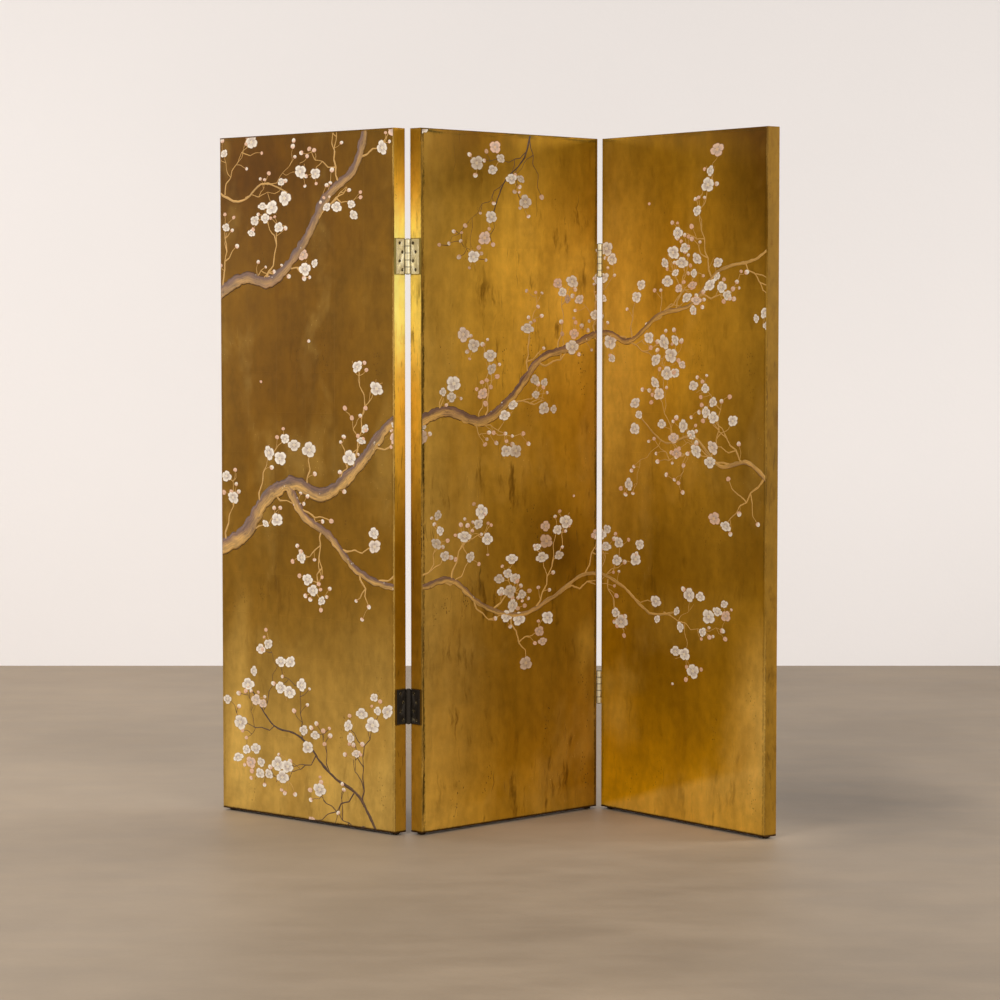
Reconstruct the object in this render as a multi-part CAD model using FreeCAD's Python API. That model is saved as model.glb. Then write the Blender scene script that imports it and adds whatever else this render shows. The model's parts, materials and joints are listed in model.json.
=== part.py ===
"""A byobu: three gilded panels on a lattice of timber, hinged into a zigzag that folds both ways.

Millimetres. +Z is up and the floor is z = 0. The origin is the middle of the footprint of the screen
as it stands, and the painted faces look towards -Y. Each panel is made lying along +X with its painted
face at y = 0 and its foot at z = 0, and is then turned and set in its place.
"""

import FreeCAD, Part
import math
import os

from FreeCAD import Rotation, Vector

# Panels
panel_height = 1830.0
panel_width = 650.0
panel_thickness = 42.0
edge_radius = 1.5

# How the screen stands: each panel's turn about the upright axis
left_turn_degrees = -41.4
middle_turn_degrees = 43.8
right_turn_degrees = -51.4

# Frame of a panel
stile_width = 60.0
rail_width = 60.0
lip_width = 7.0
skin_thickness = 4.0
skin_clearance = 0.3

# Mortise and tenon joints
tenon_length = 25.0
tenon_thickness = 12.0
tenon_shoulder = 14.0
mortise_clearance = 0.1

# Lattice behind the skins
bar_width = 20.0
bar_count = 5
stub_length = 15.0
stub_shoulder = 3.0
lap_clearance = 0.1

# Hinges
leaf_height = 90.0
leaf_thickness = 2.5
leaf_reach = 36.0
barrel_radius = 7.5
knuckle_count = 5
knuckle_gap = 0.3
plate_notch_clearance = 0.4
pin_radius = 3.0
pin_clearance = 0.05
pin_head_radius = 5.0
pin_head_height = 1.5
hinge_inset = 330.0
gain_depth = 1.0
gain_clearance = 0.3
axis_proud = 2.5

# Hinge screws
screw_head_radius = 4.5
screw_shank_radius = 2.0
screw_length = 25.0
screw_point_length = 4.0
screw_clearance = 0.1
screw_pitch = 23.0
near_column = 14.5
far_column = 24.5
slot_width = 1.0
slot_depth = 0.9
slot_turn_degrees = 37.0

# Glides under the stiles
glide_height = 6.0
glide_radius = 11.0
glide_face_radius = 8.0
glide_crown = 3.0
nail_radius = 1.5
nail_length = 18.0
nail_clearance = 0.1

# Flat sides on the small turned pieces and on the holes that take them
barrel_sides = 20
pin_sides = 12
screw_sides = 10
glide_sides = 12
pilot_hole_sides = 6
nail_hole_sides = 6

# How far a cutting tool runs past the piece that it cuts
overrun = 5.0

UP = Vector(0, 0, 1)
ALONG = Vector(1, 0, 0)
ACROSS = Vector(0, 1, 0)

edge_setback = barrel_radius - gain_depth
core_thickness = panel_thickness - 2 * skin_thickness
tenon_y = (panel_thickness - tenon_thickness) / 2
screws_per_leaf = 4


def box(low, high):
    """A block from one corner to the opposite one."""
    size = [high[i] - low[i] for i in range(3)]
    return Part.makeBox(size[0], size[1], size[2], Vector(low[0], low[1], low[2]))


def polygon(radius, height, sides):
    """The corners of a level regular polygon about the upright axis, with a flat side towards +X."""
    corners = []
    for index in range(sides):
        angle = (index + 1 / 2) * math.tau / sides
        corners.append(Vector(radius * math.cos(angle), radius * math.sin(angle), height))
    return corners


def turned(profile, sides, around=False):
    """A flat-sided solid of revolution about the upright axis, from (radius, height) points on it and back to it.

    Its corners lie on the true circles, or with around its flat sides touch them from outside, as a hole's do.
    """
    grow = 1 / math.cos(math.pi / sides) if around else 1
    rings = [polygon(radius * grow, height, sides) for radius, height in profile]
    faces = []
    for (radius, _), (next_radius, _), ring, after in zip(profile, profile[1:], rings, rings[1:]):
        for index in range(sides):
            other = (index + 1) % sides
            corners = [ring[index]]
            corners += [ring[other]] if radius else []
            corners += [after[other]] if next_radius else []
            corners.append(after[index])
            faces.append(Part.Face(Part.makePolygon(corners + corners[:1])))
    solid = Part.Solid(Part.Shell(faces)).removeSplitter()
    if solid.Volume < 0:
        solid.reverse()
    return solid


def round_bar(radius, low, high, sides, around=False):
    """An upright bar between two heights."""
    return turned([(0, low), (radius, low), (radius, high), (0, high)], sides, around)


def laid_across(shape, point):
    """Takes an upright shape to a point, with its top turned to +X."""
    moved = shape.copy()
    moved.rotate(Vector(0, 0, 0), ACROSS, 90)
    moved.translate(Vector(*point))
    return moved


def placed(shape, turn_degrees, origin):
    """A piece taken from its panel's own frame to where the panel stands on its glides."""
    stand = FreeCAD.Placement(Vector(origin[0], origin[1], glide_height), Rotation(UP, turn_degrees))
    moved = shape.copy()
    moved.Placement = stand.multiply(moved.Placement)
    return moved


class PanelPose:
    """Where a panel stands in plan: its turn and the place of its front left foot corner."""

    def __init__(self, turn_degrees, origin=(0.0, 0.0)):
        self.turn = turn_degrees
        angle = math.radians(turn_degrees)
        self.along = (math.cos(angle), math.sin(angle))
        self.across = (-math.sin(angle), math.cos(angle))
        self.origin = origin

    def point(self, x, y):
        """A plan point of the panel's own frame in the screen's frame."""
        return tuple(self.origin[i] + x * self.along[i] + y * self.across[i] for i in range(2))

    def stand_with(self, x, y, target):
        """Moves the panel so that its own plan point lies on the target."""
        reached = self.point(x, y)
        self.origin = tuple(self.origin[i] + target[i] - reached[i] for i in range(2))

    def rounded_corners(self):
        """The centres of the four rounded corners in plan."""
        xs = (edge_radius, panel_width - edge_radius)
        ys = (edge_radius, panel_thickness - edge_radius)
        return [self.point(x, y) for x in xs for y in ys]


# Hinge axes in a panel's own plan frame: clear of either side edge, and proud of the back or the front
LEFT_EDGE_X = -edge_setback
RIGHT_EDGE_X = panel_width + edge_setback
BACK_AXIS_Y = panel_thickness + axis_proud
FRONT_AXIS_Y = -axis_proud


def standing_panels():
    """The three panels' places and the two hinge axes, centred on the footprint."""
    middle = PanelPose(middle_turn_degrees)
    left = PanelPose(left_turn_degrees)
    right = PanelPose(right_turn_degrees)
    left.stand_with(RIGHT_EDGE_X, BACK_AXIS_Y, middle.point(LEFT_EDGE_X, BACK_AXIS_Y))
    right.stand_with(LEFT_EDGE_X, FRONT_AXIS_Y, middle.point(RIGHT_EDGE_X, FRONT_AXIS_Y))
    corners = [corner for pose in (left, middle, right) for corner in pose.rounded_corners()]
    centre = [(min(c[i] for c in corners) + max(c[i] for c in corners)) / 2 for i in range(2)]
    for pose in (left, middle, right):
        pose.origin = (pose.origin[0] - centre[0], pose.origin[1] - centre[1])
    return {"left": left, "middle": middle, "right": right}


def hinge_levels():
    """The height of each hinge's lower end above the panel's foot."""
    low = hinge_inset - leaf_height / 2
    return {"lower": low, "upper": panel_height - low - leaf_height}


def screw_places(near_first):
    """The screws of one leaf as (distance from the axis, height above the leaf's end)."""
    margin = (leaf_height - (screws_per_leaf - 1) * screw_pitch) / 2
    places = []
    for index in range(screws_per_leaf):
        near = (index % 2 == 0) == near_first
        places.append((near_column if near else far_column, margin + index * screw_pitch))
    return places


class HingedEdge:
    """One edge of a panel that carries leaves: its side, the face that its axis is proud of, whether its
    leaves have the outer knuckles, and whether their lowest screw is the one near the axis.
    """

    def __init__(self, side, face, outer_knuckles, near_first):
        self.side = side
        self.face = face
        self.outer_knuckles = outer_knuckles
        self.near_first = near_first

    def carry(self, shape):
        """Takes a shape from the hinge's frame to this edge of the panel.

        In the hinge's frame the axis is at the origin, the wood lies towards +X and the leaf runs towards +Y.
        """
        moved = shape.copy()
        if self.side == "right":
            moved = moved.mirror(Vector(0, 0, 0), ALONG)
        if self.face == "back":
            moved = moved.mirror(Vector(0, 0, 0), ACROSS)
        x_axis = LEFT_EDGE_X if self.side == "left" else RIGHT_EDGE_X
        y_axis = BACK_AXIS_Y if self.face == "back" else FRONT_AXIS_Y
        moved.translate(Vector(x_axis, y_axis, 0))
        return moved


left_panel_edge = HingedEdge("right", "back", False, True)
middle_left_edge = HingedEdge("left", "back", True, False)
middle_right_edge = HingedEdge("right", "front", True, False)
right_panel_edge = HingedEdge("left", "front", False, True)


def gain_tool():
    """The shallow gain right across the edge of a stile that takes one leaf."""
    return box(
        (0, -overrun, -gain_clearance),
        (barrel_radius, axis_proud + panel_thickness + overrun, leaf_height + gain_clearance),
    )


def pilot_holes(near_first):
    """The pilot holes of one leaf's screws, from the floor of the gain into the wood."""
    depth = screw_length - leaf_thickness + 2 * screw_clearance
    hole = round_bar(screw_shank_radius + screw_clearance, 0, depth, pilot_hole_sides, True)
    return [laid_across(hole, (barrel_radius, y, z)) for y, z in screw_places(near_first)]


def screw():
    """A slotted countersunk screw with its head's face at z = 0 and its point towards +Z."""
    body = turned(
        [
            (0, 0),
            (screw_head_radius, 0),
            (screw_shank_radius, leaf_thickness),
            (screw_shank_radius, screw_length - screw_point_length),
            (0, screw_length),
        ],
        screw_sides,
    )
    slot = box(
        (-screw_head_radius - overrun, -slot_width / 2, -overrun),
        (screw_head_radius + overrun, slot_width / 2, slot_depth),
    )
    return body.cut(slot)


def leaf_screws(near_first):
    """The four screws of one leaf, in the hinge's frame."""
    face_x = barrel_radius - leaf_thickness + screw_clearance
    screws = []
    for index, (y, z) in enumerate(screw_places(near_first)):
        one = screw()
        one.rotate(Vector(0, 0, 0), UP, index * slot_turn_degrees)
        screws.append(laid_across(one, (face_x, y, z)))
    return screws


def knuckle_spans(outer):
    """The heights of one leaf's knuckles: the outer set has both ends and every second one between."""
    pitch = leaf_height / knuckle_count
    first = 0 if outer else 1
    spans = []
    for index in range(first, knuckle_count, 2):
        low = index * pitch + (knuckle_gap / 2 if index > 0 else 0)
        high = (index + 1) * pitch - (knuckle_gap / 2 if index < knuckle_count - 1 else 0)
        spans.append((low, high))
    return spans


def leaf(outer, near_first):
    """One leaf: a plate that is tangent to its knuckles, cut back round the other leaf's knuckles."""
    plate = box((barrel_radius - leaf_thickness, 0, 0), (barrel_radius, leaf_reach, leaf_height))
    room_radius = barrel_radius + plate_notch_clearance
    for low, high in knuckle_spans(not outer):
        plate = plate.cut(round_bar(room_radius, low - knuckle_gap, high + knuckle_gap, barrel_sides, True))
    for low, high in knuckle_spans(outer):
        plate = plate.fuse(round_bar(barrel_radius, low, high, barrel_sides, True))
    bore = round_bar(pin_radius + pin_clearance, -overrun, leaf_height + overrun, pin_sides, True)
    sink = turned(
        [
            (0, 0),
            (screw_head_radius + screw_clearance, 0),
            (screw_shank_radius + screw_clearance, leaf_thickness),
            (0, leaf_thickness),
        ],
        screw_sides,
        True,
    )
    sinks = [laid_across(sink, (barrel_radius - leaf_thickness, y, z)) for y, z in screw_places(near_first)]
    return plate.cut(Part.Compound([bore] + sinks)).removeSplitter()


def hinge_pin():
    """The pin with its two domed heads, which are peened down on the end knuckles."""
    dome = pin_head_height / 2
    profile = [
        (0, -pin_head_height),
        (pin_head_radius - dome, -pin_head_height),
        (pin_head_radius, -dome),
        (pin_head_radius, 0),
        (pin_radius, 0),
        (pin_radius, leaf_height),
        (pin_head_radius, leaf_height),
        (pin_head_radius, leaf_height + dome),
        (pin_head_radius - dome, leaf_height + pin_head_height),
        (0, leaf_height + pin_head_height),
    ]
    return turned(profile, pin_sides)


def panel_block():
    """The outline of a panel, with its long edges eased."""
    block = box((0, 0, 0), (panel_width, panel_thickness, panel_height))
    long_edges = [edge for edge in block.Edges if edge.BoundBox.YLength < panel_thickness / 2]
    return block.makeFillet(edge_radius, long_edges)


def skin_beds():
    """The rebates for the two skins, which leave a lip all round the panel."""
    beds = []
    for low_y, high_y in ((-overrun, skin_thickness), (panel_thickness - skin_thickness, panel_thickness + overrun)):
        beds.append(box((lip_width, low_y, lip_width), (panel_width - lip_width, high_y, panel_height - lip_width)))
    return beds


def skin(front):
    """A skin that lies in its bed, flush with the lip."""
    inset = lip_width + skin_clearance
    low_y = 0 if front else panel_thickness - skin_thickness
    return box((inset, low_y, inset), (panel_width - inset, low_y + skin_thickness, panel_height - inset))


def bar_levels():
    """The lower side of each cross bar, evenly spaced between the rails."""
    opening = panel_height - 2 * rail_width
    bay = (opening - bar_count * bar_width) / (bar_count + 1)
    return [rail_width + bay + index * (bay + bar_width) for index in range(bar_count)]


def stub(low, high, grow=0.0):
    """The block of a tenon between two corners in x and z, in the middle of the thickness."""
    return box(
        (low[0], tenon_y - grow, low[1] - grow),
        (high[0], tenon_y + tenon_thickness + grow, high[1] + grow),
    )


def rail_tenons(low_z, grow=0.0):
    """The two tenons of a rail, or with grow their mortises in the stiles."""
    low = low_z + tenon_shoulder
    high = low_z + rail_width - tenon_shoulder
    inner = panel_width - stile_width
    return [
        stub((stile_width - tenon_length - grow, low), (stile_width, high), grow),
        stub((inner, low), (inner + tenon_length + grow, high), grow),
    ]


def bar_stubs(low_z, grow=0.0):
    """The two stub tenons of a cross bar, or with grow their mortises."""
    low = low_z + stub_shoulder
    high = low_z + bar_width - stub_shoulder
    inner = panel_width - stile_width
    return [
        stub((stile_width - stub_length - grow, low), (stile_width, high), grow),
        stub((inner, low), (inner + stub_length + grow, high), grow),
    ]


def muntin_stubs(grow=0.0):
    """The two stub tenons of the muntin, or with grow their mortises in the rails."""
    low_x = (panel_width - bar_width) / 2 + stub_shoulder - grow
    high_x = (panel_width + bar_width) / 2 - stub_shoulder + grow
    stubs = []
    for low_z, high_z in (
        (rail_width - stub_length - grow, rail_width),
        (panel_height - rail_width, panel_height - rail_width + stub_length + grow),
    ):
        stubs.append(box((low_x, tenon_y - grow, low_z), (high_x, tenon_y + tenon_thickness + grow, high_z)))
    return stubs


def rail_levels():
    """The lower side of the bottom rail and of the top rail."""
    return {"bottom": 0.0, "top": panel_height - rail_width}


def glide_places():
    """The glides' middles in a panel's plan frame, one under each stile, clear of the rail's tenon."""
    inset = (stile_width - tenon_length) / 2
    return [(x, panel_thickness / 2) for x in (inset, panel_width - inset)]


def glide(x, y):
    """A domed glide with its nail, standing on the floor under the panel."""
    body = turned(
        [
            (0, -glide_height),
            (glide_face_radius, -glide_height),
            (glide_radius, -glide_height + glide_crown),
            (glide_radius, 0),
            (nail_radius, 0),
            (nail_radius, nail_length - nail_radius),
            (0, nail_length),
        ],
        glide_sides,
    )
    body.translate(Vector(x, y, 0))
    return body


def stile(side, block, hinged_edge):
    """A full-height stile with its mortises, its nail hole and the gains for any leaves."""
    low_x = 0 if side == "left" else panel_width - stile_width
    region = box(
        (low_x, -overrun, -overrun),
        (low_x + stile_width, panel_thickness + overrun, panel_height + overrun),
    )
    tools = skin_beds()
    for low_z in rail_levels().values():
        tools += rail_tenons(low_z, mortise_clearance)
    for low_z in bar_levels():
        tools += bar_stubs(low_z, mortise_clearance)
    hole_radius = nail_radius + nail_clearance
    for x, y in glide_places():
        nail_hole = round_bar(hole_radius, -overrun, nail_length + nail_clearance, nail_hole_sides, True)
        nail_hole.translate(Vector(x, y, 0))
        tools.append(nail_hole)
    if hinged_edge:
        for level in hinge_levels().values():
            for tool in [gain_tool()] + pilot_holes(hinged_edge.near_first):
                moved = hinged_edge.carry(tool)
                moved.translate(Vector(0, 0, level))
                tools.append(moved)
    return block.common(region).cut(Part.Compound(tools))


def rail(which, block):
    """A top or bottom rail between the stiles, with its tenons and the muntin's mortise."""
    low_z = rail_levels()[which]
    region = box(
        (stile_width, -overrun, low_z),
        (panel_width - stile_width, panel_thickness + overrun, low_z + rail_width),
    )
    body = block.common(region).cut(Part.Compound(skin_beds() + muntin_stubs(mortise_clearance)))
    for tenon in rail_tenons(low_z):
        body = body.fuse(tenon)
    return body.removeSplitter()


def cross_bar(low_z):
    """A cross bar of the lattice, lapped behind the muntin."""
    bar = box(
        (stile_width, skin_thickness, low_z),
        (panel_width - stile_width, skin_thickness + core_thickness, low_z + bar_width),
    )
    lap = box(
        ((panel_width - bar_width) / 2 - lap_clearance, -overrun, low_z - overrun),
        ((panel_width + bar_width) / 2 + lap_clearance, panel_thickness / 2, low_z + bar_width + overrun),
    )
    bar = bar.cut(lap)
    for end in bar_stubs(low_z):
        bar = bar.fuse(end)
    return bar.removeSplitter()


def muntin():
    """The upright of the lattice, lapped in front of every cross bar."""
    low_x = (panel_width - bar_width) / 2
    upright = box(
        (low_x, skin_thickness, rail_width),
        (low_x + bar_width, skin_thickness + core_thickness, panel_height - rail_width),
    )
    laps = [
        box(
            (low_x - overrun, panel_thickness / 2, low_z - lap_clearance),
            (low_x + bar_width + overrun, panel_thickness + overrun, low_z + bar_width + lap_clearance),
        )
        for low_z in bar_levels()
    ]
    upright = upright.cut(Part.Compound(laps))
    for end in muntin_stubs():
        upright = upright.fuse(end)
    return upright.removeSplitter()


def panel_pieces(hinged_edges):
    """Every piece of one panel in the panel's own frame, by name."""
    block = panel_block()
    edges = {edge.side: edge for edge in hinged_edges}
    pieces = {side + "_stile": stile(side, block, edges.get(side)) for side in ("left", "right")}
    for which in rail_levels():
        pieces[which + "_rail"] = rail(which, block)
    pieces["muntin"] = muntin()
    for number, low_z in enumerate(bar_levels(), 1):
        pieces["cross_bar_%d" % number] = cross_bar(low_z)
    pieces["front_skin"] = skin(True)
    pieces["back_skin"] = skin(False)
    pieces["glides"] = Part.Compound([glide(x, y) for x, y in glide_places()])
    return pieces


def hinge_pieces(edge, leaf_name, screws_name, pin_name=None):
    """The leaves, screws and pins on one edge in the panel's own frame, by name."""
    pieces = {}
    screws = []
    for where, level in hinge_levels().items():
        moved = edge.carry(leaf(edge.outer_knuckles, edge.near_first))
        moved.translate(Vector(0, 0, level))
        pieces[leaf_name % where] = moved
        for one in leaf_screws(edge.near_first):
            moved = edge.carry(one)
            moved.translate(Vector(0, 0, level))
            screws.append(moved)
        if pin_name:
            moved = edge.carry(hinge_pin())
            moved.translate(Vector(0, 0, level))
            pieces[pin_name % where] = moved
    pieces[screws_name] = Part.Compound(screws)
    return pieces


def write_parts():
    """Builds every panel with what it carries and writes one file for each node."""
    os.makedirs("parts", exist_ok=True)
    poses = standing_panels()
    panels = {
        "left": [left_panel_edge],
        "middle": [middle_left_edge, middle_right_edge],
        "right": [right_panel_edge],
    }
    hinges = {
        "left": [("left_%s_hinge_left_leaf", "left_panel_screws", None)],
        "middle": [
            ("left_%s_hinge_middle_leaf", "middle_left_screws", "left_%s_hinge_pin"),
            ("right_%s_hinge_middle_leaf", "middle_right_screws", "right_%s_hinge_pin"),
        ],
        "right": [("right_%s_hinge_right_leaf", "right_panel_screws", None)],
    }
    for name, edges in panels.items():
        pieces = {name + "_" + piece: shape for piece, shape in panel_pieces(edges).items()}
        for edge, names in zip(edges, hinges[name]):
            pieces.update(hinge_pieces(edge, *names))
        for node, shape in pieces.items():
            placed(shape, poses[name].turn, poses[name].origin).exportStep("parts/" + node + ".step")
    middle = poses["middle"]
    print("left hinge axis", middle.point(LEFT_EDGE_X, BACK_AXIS_Y))
    print("right hinge axis", middle.point(RIGHT_EDGE_X, FRONT_AXIS_Y))
    for name, pose in poses.items():
        print(name, "front left corner", pose.origin, "glides", [pose.point(x, y) for x, y in glide_places()])


write_parts()
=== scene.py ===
"""Dresses the byobu: gilded fronts with a painted flowering bough, lacquered backs and brass hinges.

Metres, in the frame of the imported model: +Z up, the painted faces towards -Y. A panel's own frame has x
along the panel from its left edge, y into its thickness from the painted face, and z up from its foot.
"""

import json
import math
import random
from collections import namedtuple

import bmesh
import bpy
from bpy.props import FloatProperty, FloatVectorProperty, IntProperty, PointerProperty
from mathutils import Matrix, Vector


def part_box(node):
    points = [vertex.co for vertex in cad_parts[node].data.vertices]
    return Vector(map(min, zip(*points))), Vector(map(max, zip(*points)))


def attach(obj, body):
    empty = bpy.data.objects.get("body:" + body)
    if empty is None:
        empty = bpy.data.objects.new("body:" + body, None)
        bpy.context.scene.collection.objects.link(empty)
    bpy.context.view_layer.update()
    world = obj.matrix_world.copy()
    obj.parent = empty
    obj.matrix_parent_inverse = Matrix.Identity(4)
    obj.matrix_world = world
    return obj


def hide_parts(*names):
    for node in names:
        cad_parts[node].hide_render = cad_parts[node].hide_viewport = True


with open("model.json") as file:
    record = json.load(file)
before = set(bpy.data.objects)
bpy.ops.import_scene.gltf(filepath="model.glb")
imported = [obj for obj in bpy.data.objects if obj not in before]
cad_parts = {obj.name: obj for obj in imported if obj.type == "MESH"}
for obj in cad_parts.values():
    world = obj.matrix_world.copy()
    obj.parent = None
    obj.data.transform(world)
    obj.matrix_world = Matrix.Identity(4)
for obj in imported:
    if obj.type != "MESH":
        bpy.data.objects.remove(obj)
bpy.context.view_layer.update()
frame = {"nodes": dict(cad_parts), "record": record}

bl_info = {
    "name": "Byobu finish",
    "version": (1, 0, 0),
    "blender": (4, 5, 0),
    "location": "3D View > Sidebar > Byobu",
    "description": "Gilding, painting, lacquer and brasswork for a folding screen of three panels",
    "category": "Object",
}

MILLIMETRE = 0.001
PANEL_NAMES = ("left", "middle", "right")
HINGES = ("left_upper_hinge", "left_lower_hinge", "right_upper_hinge", "right_lower_hinge")
DARK_HINGE = "left_lower_hinge"
KNUCKLES = 5

# The seam between a front skin and the lip around it, in from the panel's side
LIP_SEAM = 7.2 * MILLIMETRE

# How far the paint keeps off a panel's edges
PAINT_MARGIN = 3.5 * MILLIMETRE

# How near a panel's side a stroke comes before it is swept for that panel
STROKE_MARGIN = 0.05

# Points of a CAD mesh closer than this are one
MERGE_REACH = 0.01 * MILLIMETRE


def tint(red, green, blue):
    """A colour from its screen values, 0 to 255, as the linear values that a shader takes."""
    shares = [value / 255 for value in (red, green, blue)]
    return tuple(s / 12.92 if s <= 0.04045 else ((s + 0.055) / 1.055) ** 2.4 for s in shares)


def opaque(colour):
    """A colour of three values as a shader's socket takes it."""
    return (*colour, 1.0)


def between(first, second, share):
    """A colour part of the way from one to another."""
    return tuple(start + (end - start) * share for start, end in zip(first, second))


# What the frame says of the panels


class Panel:
    """One panel: where it stands, which way it runs and how big it is."""

    def __init__(self, name):
        self.name = name
        self.body = f"{name}_panel"
        front = self.middle_of(f"{name}_front_skin")
        back = self.middle_of(f"{name}_back_skin")
        self.inward = (back - front).normalized()
        self.along = Vector((self.inward.y, -self.inward.x, 0))
        stiles = [frame["nodes"][f"{name}_{side}_stile"] for side in ("left", "right")]
        corners = [vertex.co for stile in stiles for vertex in stile.data.vertices]
        alongs = [corner.dot(self.along) for corner in corners]
        depths = [corner.dot(self.inward) for corner in corners]
        heights = [corner.z for corner in corners]
        foot = Vector((0, 0, min(heights)))
        self.origin = self.along * min(alongs) + self.inward * min(depths) + foot
        self.width = max(alongs) - min(alongs)
        self.thickness = max(depths) - min(depths)
        self.height = max(heights) - min(heights)
        self.turn = math.atan2(self.along.y, self.along.x)

    @staticmethod
    def middle_of(node):
        low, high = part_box(node)
        return (low + high) / 2

    def paint_space(self):
        """Takes a flat drawing, x along and y up, to the painted face, with its z out of that face."""
        columns = Matrix((self.along, Vector((0, 0, 1)), -self.inward)).transposed()
        return Matrix.Translation(self.origin) @ columns.to_4x4()


PANELS = [Panel(name) for name in PANEL_NAMES]


# Sizes and colours that a user may change


def colour_of(name, description, *screen_values):
    """A colour setting, with its default in screen values."""
    default = tint(*screen_values)
    return FloatVectorProperty(name=name, description=description, size=3, subtype="COLOR", default=default)


def length_of(name, description, default):
    """A length setting, in metres."""
    return FloatProperty(name=name, description=description, default=default, unit="LENGTH")


class GildingLook(bpy.types.PropertyGroup):
    """The gold leaf on the fronts and edges."""

    square: length_of("Leaf square", "Side of one square of gold leaf", 0.109)
    wear: length_of("Edge wear", "Width of the worn line along the edges", 0.0022)
    olive: colour_of("Olive", "Dull leaf", 133, 94, 23)
    gold: colour_of("Gold", "Bright leaf", 231, 183, 72)
    amber: colour_of("Amber", "Deep leaf", 232, 169, 12)
    umber: colour_of("Umber", "Darkest leaf", 82, 47, 1)
    sand: colour_of("Sand", "Pale rubbed leaf", 250, 204, 105)
    # Straw, marigold and honey paint the highlight on the hinged side faces; honey also warms clouds in the
    # leaf
    straw: colour_of("Straw", "Brightest leaf on the hinged edges", 255, 240, 140)
    marigold: colour_of("Marigold", "Leaf around the brightest", 252, 196, 66)
    honey: colour_of("Honey", "Leaf low on the hinged edges", 146, 98, 9)
    bole: colour_of("Bole", "Dark ground under worn leaf", 58, 36, 16)
    grime: colour_of("Grime", "Greenish grime along the borders", 62, 54, 14)
    chalk: colour_of("Chalk", "Pale ground in the deepest nicks", 198, 168, 112)


class LacquerLook(bpy.types.PropertyGroup):
    """The lacquer of the backs."""

    deep: colour_of("Lacquer", "Colour of the lacquer", 46, 31, 24)
    rubbed: colour_of("Rubbed lacquer", "Colour where it has faded", 74, 50, 36)
    undercoat: colour_of("Undercoat", "Brick red under worn lacquer", 122, 58, 34)
    scratch: colour_of("Scratch", "Pale hairline scratches", 104, 76, 58)
    dust: colour_of("Dust", "Dry dust near the foot", 128, 112, 92)


class TimberLook(bpy.types.PropertyGroup):
    """The softwood lattice and the steel glides."""

    early: colour_of("Early wood", "Pale bands of the grain", 206, 172, 126)
    late: colour_of("Late wood", "Dark bands of the grain", 158, 112, 70)
    glide: colour_of("Glide", "Colour of the domed glides", 52, 46, 42)
    scuffed: colour_of("Scuffed glide", "Pale steel where a glide has slid", 150, 144, 134)


class BrassLook(bpy.types.PropertyGroup):
    """The hinges and their screws."""

    bright: colour_of("Brass", "Rubbed brass", 238, 226, 188)
    dull: colour_of("Dull brass", "Tarnished brass", 202, 186, 144)
    patina: colour_of("Patina", "Near-black patina", 44, 36, 26)
    screw: colour_of("Screw", "Darkened screw heads", 74, 60, 36)
    easing: length_of("Easing", "Width of the eased edges of the brass", 0.00025)
    head_diameter: length_of("Head", "Diameter of a screw's head", 0.009)
    shank_diameter: length_of("Shank", "Diameter of a screw's shank", 0.004)
    slot_width: length_of("Slot", "Width of a screw's slot", 0.0012)


class PaintingLook(bpy.types.PropertyGroup):
    """The painted bough."""

    seed: IntProperty(name="Seed", description="Another number draws other twigs and flowers", default=11)
    blossom: length_of("Blossom", "Diameter of a full blossom", 0.039)
    breadth: FloatProperty(
        name="Breadth", description="How much broader than high a blossom is", default=1.25
    )
    bud: length_of("Bud", "Diameter of a bud", 0.0135)
    relief: length_of("Relief", "How far the thickest paint stands off the gold", 0.0009)
    stroke_step: length_of("Stroke step", "Length of one facet along a stroke", 0.005)
    petal: colour_of("Petal", "Shell white", 242, 231, 212)
    shade: colour_of("Petal shade", "Grey lilac in the cups", 184, 162, 150)
    blush: colour_of("Blush", "Peach of the pink blossoms", 228, 180, 146)
    aged: colour_of("Aged", "Tan of paint that has worn thin over the gold", 158, 120, 60)
    heart: colour_of("Heart", "Gold of the stamens", 206, 172, 96)
    line: colour_of("Line", "Brown of the drawn lines", 112, 74, 40)
    bark: colour_of("Bark", "Mauve brown of the boughs", 112, 78, 56)
    mauve: colour_of("Mauve", "Mauve patches on the bark", 126, 90, 72)
    lit_bark: colour_of("Lit bark", "Tan of the lit side", 194, 148, 74)
    dark_bark: colour_of("Dark bark", "Umber of the dark twigs", 78, 50, 28)


class StageLook(bpy.types.PropertyGroup):
    """The floor, the wall and the light."""

    wall_distance: length_of("Wall", "How far the wall stands behind the screen", 3.72)
    floor: colour_of("Floor", "Concrete", 150, 132, 110)
    wall: colour_of("Wall colour", "Off-white plaster", 239, 234, 231)
    light: FloatVectorProperty(
        name="Light", description="Colour of the lamps", size=3, subtype="COLOR", default=(1.0, 0.994, 0.992)
    )


LOOKS = {
    "byobu_gilding": GildingLook,
    "byobu_lacquer": LacquerLook,
    "byobu_timber": TimberLook,
    "byobu_brass": BrassLook,
    "byobu_painting": PaintingLook,
    "byobu_stage": StageLook,
}


# Node trees written as Python


def operator_of(operation, swapped=False):
    """A Python operator that adds one Math node."""

    def apply(self, other):
        return self.net.math(operation, other, self) if swapped else self.net.math(operation, self, other)

    return apply


class Field:
    """A socket whose value varies from place to place, and which adds and multiplies like a number."""

    def __init__(self, net, socket):
        self.net = net
        self.socket = socket

    __add__ = operator_of("ADD")
    __radd__ = operator_of("ADD", True)
    __sub__ = operator_of("SUBTRACT")
    __rsub__ = operator_of("SUBTRACT", True)
    __mul__ = operator_of("MULTIPLY")
    __rmul__ = operator_of("MULTIPLY", True)
    __truediv__ = operator_of("DIVIDE")


def find_socket(sockets, key):
    """A socket by its number, its identifier or its name."""
    if isinstance(key, int):
        return sockets[key]
    for socket in sockets:
        if socket.identifier == key:
            return socket
    return sockets[key]


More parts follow.
